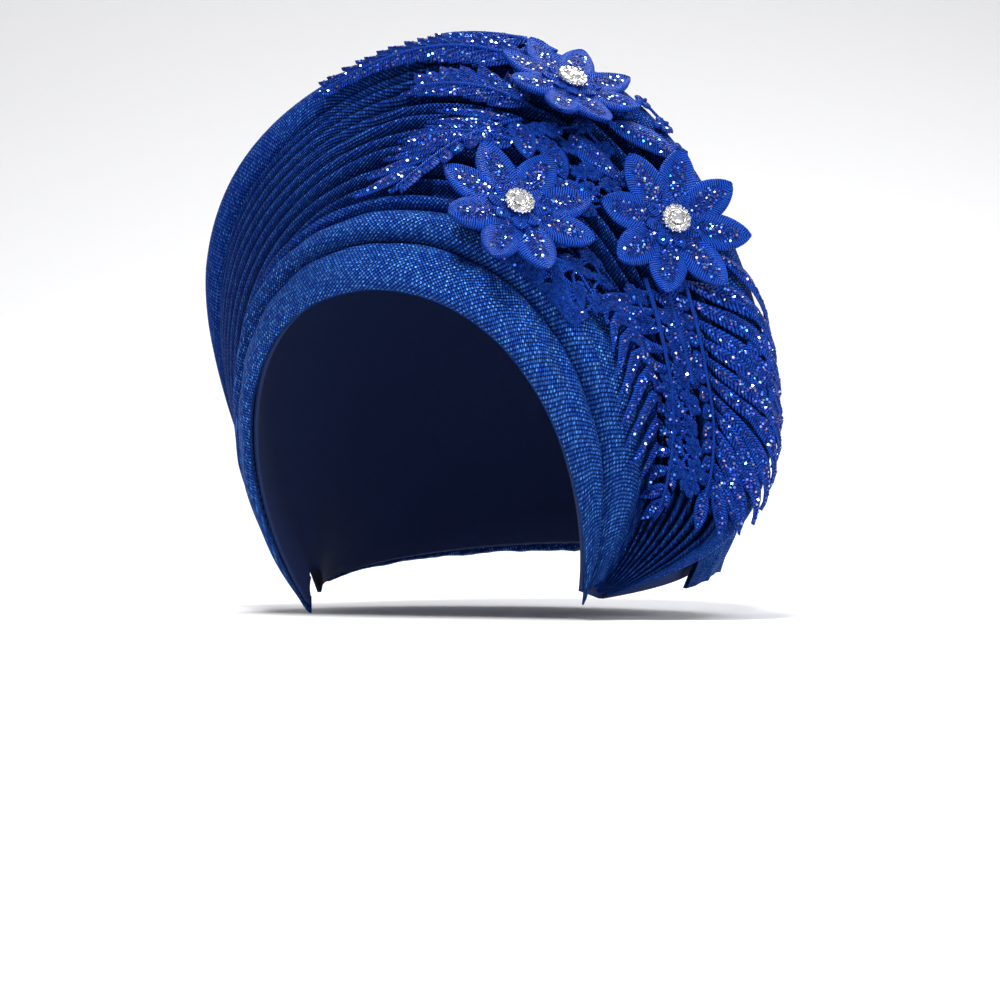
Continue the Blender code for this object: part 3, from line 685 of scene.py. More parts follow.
# The last number scales the painted glints: the bias cloth of the fan and the roll gets fewer
WOVEN = woven_cloth("woven_cloth", 38.0, 1.15)
WOVEN_BIAS = woven_cloth("woven_cloth_bias", 52.0, 0.6)
# The second colour is the painted sheen on the satin stitch crests
SATIN = satin_lace("satin_lace", (0.0008, 0.0045, 0.070, 1), (0.0130, 0.092, 0.640, 1))
SEQUIN = sequin_film()
METAL = plated_metal()
CRYSTAL = cut_crystal()


def cap_lining():
    n = Nodes("knitted_lining")
    place = n.node("ShaderNodeTexCoord").outputs["Object"]
    fuzz = n.noise(place, 1400.0)
    colour = n.mix(fuzz, (0.002, 0.010, 0.060, 1), (0.004, 0.022, 0.120, 1))
    return n.surface(Base_Color=colour, Roughness=0.9, Normal=n.bump(fuzz, 0.4, 0.0003))


LINING = cap_lining()


# Folds of cloth

def inward(grid):
    """Facing of a [across][share] grid of points, out from the head."""
    along = np.gradient(grid, axis=1)
    across = np.gradient(grid, axis=0)
    facing = unit(np.cross(across, along))
    side = np.sign(np.sum(facing * (grid - np.array([0.0, 0.01, -0.02])), axis=-1, keepdims=True).mean())
    return facing * side


def crease_depth(name, across, share):
    depth = np.zeros(np.broadcast(across, share).shape)
    for crease in CREASES[name]:
        middle = crease.across + crease.drift * (share - crease.share) / crease.reach
        near = np.clip(1 - ((share - crease.share) / crease.reach) ** 2, 0, 1) ** 2
        depth = depth + crease.depth * near * np.exp(-(((across - middle) / crease.width) ** 2))
    return depth


def band_rows(name, low_name, high_name, across_steps, share_steps):
    """A flat folded band as a closed tube of points: rounded edges, creased and softly padded."""
    shares = np.linspace(BAND_END, 1 - BAND_END, share_steps)
    low = edge_angle(low_name, shares)
    high = edge_angle(high_name, shares)
    gap = math.degrees(SEAT_GAP / HEAD_HALF_LENGTH) * 0.6
    across = (1 - np.cos(np.linspace(0, math.pi, across_steps))) / 2
    angles = low + gap + (high - low - 2 * gap) * across[:, None]
    keys = [section.across for section in BANDS[name]]
    heights = smooth_between(keys, [section.height for section in BANDS[name]], across)
    rounding = np.clip(1 - (1 - np.minimum(across, 1 - across) / 0.09).clip(0, 1) ** 2, 0, 1) ** 0.5
    floor = 0.25
    wander = 0.00035 * np.sin(9.0 * math.pi * shares + 5.0 * across[:, None])
    wander = wander * np.sin(math.pi * across)[:, None]
    wander = wander + 0.00025 * np.sin(23.0 * math.pi * shares - 9.0 * across[:, None])
    rise = heights * (floor + (1 - floor) * rounding)
    rise = rise[:, None] * foot_taper(shares) + wander - crease_depth(name, across[:, None], shares)
    ends = np.clip((np.minimum(shares, 1 - shares) - BAND_END) / 0.007, 0, 1)
    rise = rise * np.sqrt(1 - (1 - ends) ** 2)
    rise = np.maximum(rise, 0.001)
    outer = np.array([head_point(angle, shares, SEAT + up) for angle, up in zip(angles, rise)])
    inner = np.array([head_point(angle, shares, SEAT) for angle in angles[1:-1]])
    return np.concatenate([outer, inner[::-1]]), outer


def fold_piece(name, rows, material):
    """One closed fold: a tube of rows with flat coordinates along its length and round it."""
    shape = Shape()
    shape.ring_grid(rows, uv=cloth_uv(rows))
    return shape.build(name, [material])


def lengths_of(face):
    """How long and how wide a face's cloth lies, from a grid of its points."""
    along = np.linalg.norm(np.diff(face, axis=1), axis=-1).sum(axis=1).max()
    across = np.linalg.norm(np.diff(face, axis=0), axis=-1).sum(axis=0).max()
    return float(along), float(across)


def area_of(face):
    """The area of a grid of points."""
    a = face[1:, 1:] - face[:-1, :-1]
    b = face[1:, :-1] - face[:-1, 1:]
    return float(np.linalg.norm(np.cross(a, b), axis=-1).sum() / 2)


def band(name, low_name, high_name, across_steps, share_steps, material):
    rows, face = band_rows(name, low_name, high_name, across_steps, share_steps)
    return fold_piece(name, rows, material), face


# The pleated fan: a smooth base sheet that Geometry Nodes folds by rule

def fan_base(across_steps=220, share_steps=200):
    """The fan's sheet laid flat on its base, with what the folding needs kept on each point."""
    shares = np.linspace(FAN_END, 1 - FAN_END, share_steps)
    start, out, facing, radius, pleated = fan_section(shares)
    across = np.linspace(0, 1, across_steps)
    outer = np.array([start + out * pleated * a + facing * bulge(a) * pleated for a in across])
    inner = outer - facing * CLOTH_WALL
    turns = np.radians(np.linspace(150, -75, 24))
    middle = rim_centre(shares)
    wall = np.minimum(CLOTH_WALL, radius * 0.45)
    over = np.array([middle + (out * math.cos(t) + facing * math.sin(t)) * radius for t in turns])
    under = np.array([middle + (out * math.cos(t) + facing * math.sin(t)) * (radius - wall) for t in turns])
    rows = np.concatenate([outer, over, under[::-1], inner[::-1]])
    fold_at = np.concatenate([across, np.full(len(turns) * 2, -1.0), across[::-1]])
    way = np.broadcast_to(facing, rows.shape)
    width = np.broadcast_to(pleated[..., 0], rows.shape[:2])
    share = np.broadcast_to(shares, rows.shape[:2])
    fold_at = np.broadcast_to(fold_at[:, None], rows.shape[:2])
    return rows, fold_at, way, width, share, np.concatenate([outer, over])


def group_input(group, name, kind, value):
    socket = group.interface.new_socket(name, in_out="INPUT", socket_type="NodeSocket" + kind)
    if kind in ("Float", "Int", "Vector"):
        socket.default_value = value
    return socket


class Geometry:
    """Builds a Geometry Nodes group with short calls."""

    def __init__(self, name, inputs):
        self.group = bpy.data.node_groups.new(name, "GeometryNodeTree")
        self.group.interface.new_socket("Geometry", in_out="INPUT", socket_type="NodeSocketGeometry")
        for label, kind, value in inputs:
            group_input(self.group, label, kind, value)
        self.group.interface.new_socket("Geometry", in_out="OUTPUT", socket_type="NodeSocketGeometry")
        self.input = self.group.nodes.new("NodeGroupInput")
        self.output = self.group.nodes.new("NodeGroupOutput")

    def __getitem__(self, name):
        return self.input.outputs[name]

    def node(self, kind, inputs=None, **settings):
        node = self.group.nodes.new(kind)
        for key, value in settings.items():
            setattr(node, key, value)
        for key, value in (inputs or {}).items():
            socket = node.inputs[key]
            if isinstance(value, bpy.types.NodeSocket):
                self.group.links.new(value, socket)
            else:
                socket.default_value = value
        return node

    def math(self, operation, *values):
        node = self.node("ShaderNodeMath", dict(enumerate(values)), operation=operation)
        return node.outputs[0]

    def attribute(self, name, kind="FLOAT"):
        reader = self.node("GeometryNodeInputNamedAttribute", {"Name": name}, data_type=kind)
        return reader.outputs["Attribute"]

    def finish(self, geometry):
        self.group.links.new(geometry, self.output.inputs[0])
        return self.group

    def apply(self, piece, values=None):
        """Runs the group on a piece, keeps the mesh that comes out and takes the modifier away."""
        modifier = piece.modifiers.new("nodes", "NODES")
        modifier.node_group = self.group
        for label, value in (values or {}).items():
            modifier[self.group.interface.items_tree[label].identifier] = value
        depsgraph = bpy.context.evaluated_depsgraph_get()
        depsgraph.update()
        made = bpy.data.meshes.new_from_object(piece.evaluated_get(depsgraph))
        made.name = piece.name
        piece.modifiers.remove(modifier)
        old = piece.data
        piece.data = made
        bpy.data.meshes.remove(old)
        return piece


def pleat_rule():
    """Folds each point out along its facing: rounded ropes with deep narrow grooves, a little uneven."""
    g = Geometry("pleats", [
        ("Pleats", "Float", float(PLEATS)),
        ("Depth", "Float", PLEAT_DEPTH_SHARE),
        ("Sink", "Float", 0.0),
        ("Far Depth", "Float", 0.3),
        ("Far Sink", "Float", 0.1),
        ("Unevenness", "Float", 0.16),
        ("Seed", "Float", 4.0),
    ])
    at = g.attribute("fold_at")
    share = g.attribute("share")
    width = g.attribute("fold_width")
    way = g.attribute("fold_way", "FLOAT_VECTOR")
    folded = g.math("GREATER_THAN", at, -0.5)
    spot = g.math("MULTIPLY", at, g["Pleats"])
    number = g.math("FLOOR", g.math("MINIMUM", spot, g.math("SUBTRACT", g["Pleats"], 0.001)))

    def drift(scale, shift, low):
        vector = g.node("ShaderNodeCombineXYZ", {
            "X": g.math("MULTIPLY", share, scale),
            "Y": g.math("MULTIPLY", number, low),
            "Z": g.math("ADD", g["Seed"], shift),
        }).outputs[0]
        noise = g.node("ShaderNodeTexNoise", {"Vector": vector, "Scale": 1.0, "Detail": 1.0}).outputs[0]
        return g.math("SUBTRACT", noise, 0.5)

    sway = g.math("MULTIPLY", drift(5.0, 0.0, 0.0), g.math("MULTIPLY", g["Unevenness"], 2.4))
    shifted = g.math("ADD", spot, sway)
    phase = g.math("FRACT", g.math("ADD", shifted, 8.0))
    rope = g.math("POWER", g.math("SINE", g.math("MULTIPLY", phase, math.pi)), 0.95)
    lean = g.math("MULTIPLY", g.math("SINE", g.math("MULTIPLY", phase, 2 * math.pi)), -0.10)
    edge = g.math("MULTIPLY", g.math("MINIMUM", at, g.math("SUBTRACT", 1.0, at)), g["Pleats"])
    taper = g.math("MINIMUM", g.math("MAXIMUM", g.math("MULTIPLY", edge, 2.2), 0.0), 1.0)
    rope = g.math("ADD", rope, lean)
    uneven = g.math("MULTIPLY", g["Unevenness"], 2.5)
    tall = g.math("ADD", 1.0, g.math("MULTIPLY", drift(3.0, 7.0, 3.7), uneven))
    small = g.math("MULTIPLY", drift(26.0, 13.0, 5.3), 0.10)
    pitch = g.math("DIVIDE", width, g["Pleats"])
    far = g.node("ShaderNodeMapRange", {
        "Value": share, 1: 0.50, 2: 0.66,
    }, interpolation_type="SMOOTHSTEP").outputs[0]

    def flatter(near_name, far_name):
        change = g.math("MULTIPLY", far, g.math("SUBTRACT", g[far_name], g[near_name]))
        return g.math("ADD", g[near_name], change)

    depth, sink = flatter("Depth", "Far Depth"), flatter("Sink", "Far Sink")
    rise = g.math("MULTIPLY", g.math("ADD", g.math("MULTIPLY", rope, tall), small), depth)
    rise = g.math("MULTIPLY", g.math("SUBTRACT", rise, sink), g.math("MULTIPLY", pitch, taper))
    rise = g.math("MULTIPLY", rise, folded)
    offset = g.node("ShaderNodeVectorMath", {0: way, "Scale": rise}, operation="SCALE").outputs[0]
    moved = g.node("GeometryNodeSetPosition", {"Geometry": g["Geometry"], "Offset": offset}).outputs[0]
    # The groove weight, 0 on the ridges and up to 1 on the groove floors, is stored for the painted shade in
    # the woven cloth's colour
    groove = g.math("MULTIPLY", g.math("MULTIPLY", g.math("SUBTRACT", 1.0, rope), folded), taper)
    kept = g.node("GeometryNodeStoreNamedAttribute", {
        "Geometry": moved, "Name": "groove", "Value": groove,
    }, data_type="FLOAT", domain="POINT").outputs[0]
    g.finish(kept)
    return g


def bead_rule(name, across, seed):
    """Scatters beads or sequins over the faces marked with a bead weight, lying on the surface."""
    g = Geometry(name, [
        ("Across", "Float", across),
        ("Spacing", "Float", across * 0.80),
        ("Density", "Float", 1500000.0),
        ("Tilt", "Float", 0.45),
        ("Seed", "Int", seed),
    ])
    bead = g.node("GeometryNodeMeshCylinder", {"Vertices": 6, "Radius": 0.5, "Depth": 0.22}).outputs[0]
    weight = g.attribute("bead")
    points = g.node("GeometryNodeDistributePointsOnFaces", {
        "Mesh": g["Geometry"], "Distance Min": g["Spacing"], "Density Max": g["Density"],
        "Density Factor": weight, "Seed": g["Seed"],
    }, distribute_method="POISSON")
    tilt = g.math("MULTIPLY", g["Tilt"], -1.0)
    low = g.node("ShaderNodeCombineXYZ", {"X": tilt, "Y": tilt, "Z": 0.0}).outputs[0]
    high = g.node("ShaderNodeCombineXYZ", {"X": g["Tilt"], "Y": g["Tilt"], "Z": 6.28}).outputs[0]
    turn = g.node("FunctionNodeRandomValue", {
        0: low, 1: high, "Seed": g["Seed"],
    }, data_type="FLOAT_VECTOR").outputs[0]
    rotation = g.node("FunctionNodeRotateRotation", {
        "Rotation": points.outputs["Rotation"], "Rotate By": turn,
    }, rotation_space="LOCAL").outputs[0]
    size = g.node("FunctionNodeRandomValue", {2: 0.72, 3: 1.0, "Seed": 5}, data_type="FLOAT").outputs[1]
    placed = g.node("GeometryNodeInstanceOnPoints", {
        "Points": points.outputs["Points"], "Instance": bead, "Rotation": rotation,
        "Scale": g.math("MULTIPLY", g["Across"], size),
    }).outputs[0]
    tint = g.node("FunctionNodeRandomValue", {2: 0.0, 3: 1.0, "Seed": 9}, data_type="FLOAT").outputs[1]
    tinted = g.node("GeometryNodeStoreNamedAttribute", {
        "Geometry": placed, "Name": "tint", "Value": tint,
    }, data_type="FLOAT", domain="INSTANCE").outputs[0]
    made = g.node("GeometryNodeRealizeInstances", {0: tinted}).outputs[0]
    made = g.node("GeometryNodeSetMaterial", {"Geometry": made, "Material": SEQUIN}).outputs[0]
    joined = g.node("GeometryNodeJoinGeometry")
    g.group.links.new(made, joined.inputs[0])
    g.group.links.new(g["Geometry"], joined.inputs[0])
    g.finish(joined.outputs[0])
    return g


PLEAT_RULE = pleat_rule()
BEAD_RULE = bead_rule("beads", SEQUIN_ACROSS, 3)


def lay_weave(piece, shape):
    """Gives a folded tube of cloth flat coordinates measured over its folds."""
    points = np.empty(len(piece.data.vertices) * 3)
    piece.data.vertices.foreach_get("co", points)
    uv = cloth_uv(points.reshape(shape)).reshape(-1, 2)
    corners = np.empty(len(piece.data.loops), dtype=np.int32)
    piece.data.loops.foreach_get("vertex_index", corners)
    piece.data.uv_layers["weave"].data.foreach_set("uv", uv[corners].astype(np.float32).ravel())


def pleated_fan():
    rows, fold_at, way, width, share, face = fan_base()
    shape = Shape()
    shape.ring_grid(rows, uv=cloth_uv(rows))
    piece = shape.build("pleated_fan", [WOVEN_BIAS], extra={
        "fold_at": fold_at.reshape(-1), "fold_width": width.reshape(-1), "share": share.reshape(-1),
        "fold_way": way.reshape(-1, 3),
    })
    PLEAT_RULE.apply(piece, {
        "Pleats": float(PLEATS), "Depth": 1.25, "Sink": 0.80, "Far Depth": 0.26, "Far Sink": -0.10,
    })
    lay_weave(piece, rows.shape)
    return piece, face


def over_ears(across, share_steps):
    """Shares along each row of the crown, whose lower edge rises over the ears."""
    rise = np.clip(across / 0.30, 0, 1)
    low = CROWN_END + EAR_ARCH * rise * rise * (3 - 2 * rise)
    t = np.linspace(0, 1, share_steps)
    return low[:, None] + (1 - 2 * low[:, None]) * t


def even_uv(outer, across, shares):
    """Flat coordinates that gather evenly towards the feet, for both faces of a sheet."""
    length, width = lengths_of(outer)
    uv = np.stack([(shares - 0.5) * length, np.broadcast_to(across[:, None] * width, shares.shape)], axis=-1)
    return np.concatenate([uv, uv[::-1]])


def back_crown(across_steps=110, share_steps=240):
    """The cloth over the back of the head, gathered from under the rim down to the nape."""
    across = np.linspace(0, 1, across_steps) ** 0.9
    shares = over_ears(across, share_steps)
    outer = np.array([back_point([a], shares[i], 0.0)[0] for i, a in enumerate(across)])
    facing = inward(outer)
    down = across[:, None]
    gathers = np.zeros(shares.shape)
    for count, drift, strength in ((9, 0.7, 0.50), (16, -1.2, 0.46), (29, 1.9, 0.24), (47, -2.4, 0.10)):
        phase = count * math.pi * shares + drift * down + 0.9 * np.sin(2.6 * down + count)
        gathers += strength * (0.6 - np.abs(np.sin(phase)))
    fade = (0.25 + 0.75 * down ** 0.8) * np.clip((1 - down) * 9, 0.3, 1) * np.clip(down * 9, 0, 1)
    outer = outer + facing * (gathers * 0.0072 * fade)[..., None]
    inner = outer - facing * BACK_WALL
    rows = np.concatenate([outer, inner[::-1]])
    shape = Shape()
    shape.ring_grid(rows, uv=even_uv(outer, across, shares))
    return shape.build("back_crown", [WOVEN]), outer


def inner_cap(angle_steps=40, share_steps=121):
    spread = np.linspace(0, 1, angle_steps) ** 1.5
    shares = np.linspace(HOOP_END, 1 - HOOP_END, share_steps)
    start = edge_angle("hem", shares) + 2.0
    angles = start + spread[:, None] * (NAPE_ANGLE - start)
    outer = np.array([head_point(row, shares, CAP_FIT + CAP_WALL * 0.92) for row in angles])
    inner = np.array([head_point(row, shares, CAP_FIT) for row in angles])
    rows = np.concatenate([outer, inner[::-1]])
    return fold_piece("inner_cap", rows, LINING), outer


# Lace, laid on the trimmed face

def leaf_path(leaf):
    """Flat metres for one long leaflet that runs over the folds: its length and how they are laid."""
    t = np.linspace(0, 1, 25)
    share = leaf.share + (leaf.tip_share - leaf.share) * t
    across = leaf.across + (leaf.tip_across - leaf.across) * t
    path = FACE.lay(share, across, np.full(25, leaf.lift))
    facing = unit(FACE.sample(FACE.facing, share, across))
    beside = unit(np.cross(facing, np.gradient(path, axis=0)))
    run = np.concatenate([[0.0], np.cumsum(np.linalg.norm(np.diff(path, axis=0), axis=1))])

    def place(points, lift):
        points = np.asarray(points)
        middle, side, up = (
            np.stack([np.interp(points[:, 0], run, values[:, i]) for i in range(3)], axis=-1)
            for values in (path, beside, facing)
        )
        return middle + side * points[:, 1, None] + up * np.asarray(lift)[:, None]

    return run[-1], place


def leaves(name):
    """A group of single leaflets, one satin-stitched dome each."""
    shape = Shape()
    for leaf in LEAVES[name]:
        length, place = leaf_path(leaf)
        leaflet(shape, (0.0, 0.0), (length, 0.0), leaf.width, place)
    piece = shape.build(name, [SATIN])
    BEAD_RULE.apply(piece)
    return piece


def leaflet(shape, spot, tip, half_width, place, thick=0.0009, bead=1.0):
    """A domed pointed leaflet with a raised midrib, from spot to tip in flat metres."""
    along = np.array(tip, float) - spot
    length = np.linalg.norm(along)
    way = along / length
    beside = np.array([-way[1], way[0]])
    t = np.linspace(0, 1, 11)
    wide = half_width * np.clip(np.sin(math.pi * t ** 0.80), 0, 1) ** 0.72
    wide[0] = half_width * 0.22
    wide[-1] = half_width * 0.05
    s = np.array([-1.0, -0.72, -0.36, 0.0, 0.36, 0.72, 1.0])
    spine = np.asarray(spot) + way * length * t[:, None]
    flat = spine + beside * wide[:, None] * s[:, None, None]
    dome = thick * (0.55 + 0.75 * (1 - s ** 2))[:, None] * np.ones_like(t)
    dome = dome + 0.0004 * (1 - np.abs(s))[:, None] ** 3
    lift = LACE_LIFT + 0.0016 * (t ** 2) * 0.4
    top = place(flat.reshape(-1, 2), (lift + dome).reshape(-1)).reshape(len(s), len(t), 3)
    under = place(flat[1:-1].reshape(-1, 2), np.tile(lift, len(s) - 2)).reshape(len(s) - 2, len(t), 3)
    rows = np.concatenate([top, under[::-1]])
    uv = np.zeros(rows.shape[:2] + (2,))
    uv[:, :, 0] = t * length
    uv[:len(s), :, 1] = s[:, None] * wide
    uv[len(s):, :, 1] = s[1:-1][::-1, None] * wide
    beads = np.zeros(rows.shape[:2])
    beads[2:len(s) - 2, 1:-1] = bead
    shape.ring_grid(rows, uv=uv, beads=beads)


def cord(shape, points, place, radius=0.0008, bead=0.0):
    """A round raised cord along flat points, lying on the face."""
    points = np.asarray(points, float)
    way = np.gradient(points, axis=0)
    way /= np.linalg.norm(way, axis=1, keepdims=True)
    beside = np.stack([-way[:, 1], way[:, 0]], axis=1)
    rows = []
    for i in range(6):
        turn = math.pi * i / 3
        flat = points + beside * radius * math.cos(turn)
        lift = np.full(len(points), LACE_LIFT + radius + radius * math.sin(turn))
        rows.append(place(flat, lift))
    rows = np.array(rows)
    shape.ring_grid(rows, uv=cloth_uv(rows), beads=np.full(rows.shape[:2], bead))


def spray_frame(leaf):
    """Flat metres for one spray: its length along the face and how they turn into share and across."""
    middle = FACE.frame_at((leaf.share + leaf.tip_share) / 2, (leaf.across + leaf.tip_across) / 2)
    per_share, per_across = middle[4], middle[5]
    end = np.array([
        (leaf.tip_share - leaf.share) * per_share,
        (leaf.tip_across - leaf.across) * per_across,
    ])

    def place(points, lift):
        points = np.asarray(points)
        share = leaf.share + points[:, 0] / per_share
        across = leaf.across + points[:, 1] / per_across
        return FACE.lay(share, across, np.asarray(lift))

    return end, place


def spray(name):
    """A stem with paired leaflets, each one satin-stitched and domed, thick with sequins."""
    leaf = FRONDS[name]
    end, place = spray_frame(leaf)
    length = np.linalg.norm(end)
    way = end / length
    beside = np.array([-way[1], way[0]])
    shape = Shape()
    t = np.linspace(0, 1, 15)
    bow = 0.04 * length
    stem = np.array([way * length * a + beside * bow * math.sin(math.pi * a) for a in t])
    cord(shape, stem, place, 0.0009)
    lean = math.radians(leaf.lean)
    rng = np.random.default_rng(len(name) * 7 + leaf.leaves)
    for i in range(leaf.leaves):
        a = (i + 0.55) / leaf.leaves * 0.92
        base = way * length * a + beside * bow * math.sin(math.pi * a)
        for side, reach in ((-1, leaf.right), (1, leaf.left)):
            if reach == 0:
                continue
            turn = lean * (1.15 - 0.40 * a) + rng.uniform(-0.09, 0.09)
            point = way * math.cos(turn) + beside * side * math.sin(turn)
            far = reach * (1 - 0.25 * a ** 2) * rng.uniform(0.90, 1.06)
            leaflet(shape, base + beside * side * 0.0004, base + point * far, leaf.width, place)
    leaflet(shape, way * length * 0.90, end * 1.04, leaf.width * 0.8, place)
    piece = shape.build(name, [SATIN])
    BEAD_RULE.apply(piece)
    return piece


def pad(shape, spot, radius, height, place):
    """A small round domed pad of satin stitch."""
    rows = []
    for i in range(10):
        turn = 2 * math.pi * i / 10
        way = np.array([math.cos(turn), math.sin(turn)])
        reach = np.array([0.06, 0.45, 0.80, 1.0, 0.75])
        lift = LACE_LIFT + height * np.array([1.0, 0.95, 0.70, 0.25, 0.0])
        rows.append(place(spot + way * radius * reach[:, None], lift))
    rows = np.array(rows)
    uv = np.zeros(rows.shape[:2] + (2,))
    uv[:, :, 0] = (np.arange(10) / 10 * 6.28 * radius)[:, None]
    shape.ring_grid(rows, uv=uv, beads=np.full(rows.shape[:2], 0.12))


def blossom(shape, spot, radius, turn, place):
    """A small five-petal flower of the pierced lace, with a raised eye."""
    for i in range(5):
        angle = turn + 2 * math.pi * i / 5
        point = np.array([math.cos(angle), math.sin(angle)])
        pad(shape, spot + point * radius * 0.56, radius * 0.50, 0.0015, place)
    pad(shape, spot, radius * 0.26, 0.0024, place)


def spot_place(share, across):
    """Flat metres round one place on the face."""
    per_share, per_across = FACE.frame_at(share, across)[4:]

    def place(points, lift):
        points = np.asarray(points)
        shares = share + points[:, 0] / per_share
        acrosses = across + points[:, 1] / per_across
        return FACE.lay(shares, acrosses, np.asarray(lift))

    return place


def net(name):
    """Pierced lace: small blossoms joined by bars, open between."""
    patch = NETS[name]
    shape = Shape()
    rng = np.random.default_rng(len(patch.spots))
    middle = np.zeros(2)
    for i, spot in enumerate(patch.spots):
        blossom(shape, middle, patch.radius * rng.uniform(0.9, 1.1), rng.uniform(0, 6), spot_place(*spot))
        for other in patch.spots[i + 1:]:
            length, place = leaf_path(Leaf(*spot, *other, 0.0, 0.0))
            if length < patch.radius * 3.1:
                cord(shape, np.array([length, 0.0]) * np.linspace(0, 1, 6)[:, None], place, 0.0006)
    piece = shape.build(name, [SATIN])
    BEAD_RULE.apply(piece)
    return piece


def flower_frame(name):
    """A flower's middle, its two flat ways and its facing."""
    spot = FLOWERS[name]
    place, along, out, facing, _, _ = FACE.frame_at(spot.share, spot.across)
    facing = unit(facing + out * spot.tip_up)
    along = unit(along - facing * np.dot(along, facing))
    out = np.cross(along, facing)
    first = along * math.cos(spot.spin) + out * math.sin(spot.spin)
    second = out * math.cos(spot.spin) - along * math.sin(spot.spin)
    return place + facing * spot.lift, first, second, facing


def petal(shape, frame, turn, low, tip, half_width, height, wall, cup, bead_edge,
          lengthways=21, crossways=17):
    """One domed petal of a flower: satin over its halves, a raised midrib, its tip curling up."""
    middle, first, second, facing = frame
    way, beside = turned(first, second, turn)
    t = np.linspace(0, 1, lengthways)
    wide = half_width * np.clip(np.sin(math.pi * (0.10 + 0.90 * t) ** 1.12), 0, 1) ** 0.62
    wide[-1] = half_width * 0.04
    s = np.sin(np.linspace(-math.pi / 2, math.pi / 2, crossways))
    grid_t, grid_s = np.meshgrid(t, s)
    radius = low + (tip - low) * grid_t
    side = grid_s * wide
    ends = np.sin(math.pi * (0.06 + 0.88 * grid_t)) ** 0.5
    rim = np.exp(-((np.abs(grid_s) - 0.80) / 0.20) ** 2)
    rib = np.exp(-(grid_s / 0.12) ** 2) * np.clip((0.9 - grid_t) * 6, 0, 1)
    dome = wall * (0.30 + (0.62 * rim + 0.45 * rib) * ends)
    rise = height + cup * grid_t ** 2 - 0.0010 * grid_s ** 2 * np.sin(math.pi * grid_t)

    def at(lift):
        return middle + way * radius[..., None] + beside * side[..., None] + facing * lift[..., None]

    top, under = at(rise + dome), at(rise - wall)
    rows = np.concatenate([top, under[1:-1][::-1]])
    uv = np.zeros(rows.shape[:2] + (2,))
    uv[:crossways] = np.stack([radius, side], axis=-1)
    uv[crossways:] = np.stack([radius, side], axis=-1)[1:-1][::-1]
    beads = np.zeros(rows.shape[:2])
    along_rib = (np.abs(grid_s) < 0.42) * (grid_t < 0.84) * 1.0
    beads[:crossways] = np.maximum(along_rib, bead_edge * (grid_t < 0.30))
    beads[[0, crossways - 1]] = 0.0
    shape.ring_grid(rows, uv=uv, beads=beads)


def flower(name):
    """Eight pointed petals over eight shorter ones, with a thick sewn middle for the button."""
    spot = FLOWERS[name]
    frame = flower_frame(name)
    middle, first, second, facing = frame
    shape = Shape()
    rng = np.random.default_rng(sum(map(ord, name)))
    for i in range(PETALS):
        turn = 2 * math.pi * (i + 0.5) / PETALS
        turn += rng.uniform(-0.05, 0.05)
        reach = spot.radius * rng.uniform(0.95, 1.0)
        cup = 0.0016 + rng.uniform(-0.0008, 0.0010)
        petal(shape, frame, turn, spot.radius * 0.14, reach, spot.radius * 0.25, 0.0, 0.0010, cup, 0.5)
    for i in range(PETALS):
        turn = 2 * math.pi * i / PETALS + rng.uniform(-0.08, 0.08)
        reach = spot.radius * rng.uniform(0.36, 0.42)
        wide = spot.radius * 0.09
        petal(shape, frame, turn, spot.radius * 0.10, reach, wide, 0.0009, 0.0006, 0.0006, 0.9, 9, 7)
    root = []
    under = -spot.lift + 0.0006
    column = [(0.02, 0.0008), (0.16, 0.0008), (0.19, 0.0002), (0.16, -0.0010), (0.12, under)]
    for i in range(24):
        turn = 2 * math.pi * i / 24
        way, _ = turned(first, second, turn)
        root.append([middle + way * spot.radius * r + facing * h for r, h in column])
    root = np.array(root)
    beads = np.zeros(root.shape[:2])
    beads[:, :3] = 1.0
    shape.ring_grid(root, beads=beads)
    piece = shape.build(name, [SATIN])
    BEAD_RULE.apply(piece)
    return piece


def stone_mesh(middle, first, second, facing, across, height, sides=8):
    """A faceted crystal: table, crown and pavilion."""
    points = []
    for radius, up in ((0.28, height), (0.44, height * 0.72), (0.50, height * 0.42), (0.30, 0.0)):
        for i in range(sides):
            turn = 2 * math.pi * (i + (0.5 if radius == 0.44 else 0.0)) / sides
            way, _ = turned(first, second, turn)
            points.append(middle + way * across * radius + facing * up)
    faces = [tuple(range(sides)), tuple(reversed(range(3 * sides, 4 * sides)))]
    for i in range(sides):
        j = (i + 1) % sides
        faces += [(j, i, sides + i), (sides + i, sides + j, j)]
        faces += [(sides + i, 2 * sides + i, 2 * sides + j), (2 * sides + j, sides + j, sides + i)]
        faces += [(2 * sides + j, 2 * sides + i, 3 * sides + i, 3 * sides + j)]
    return points, faces


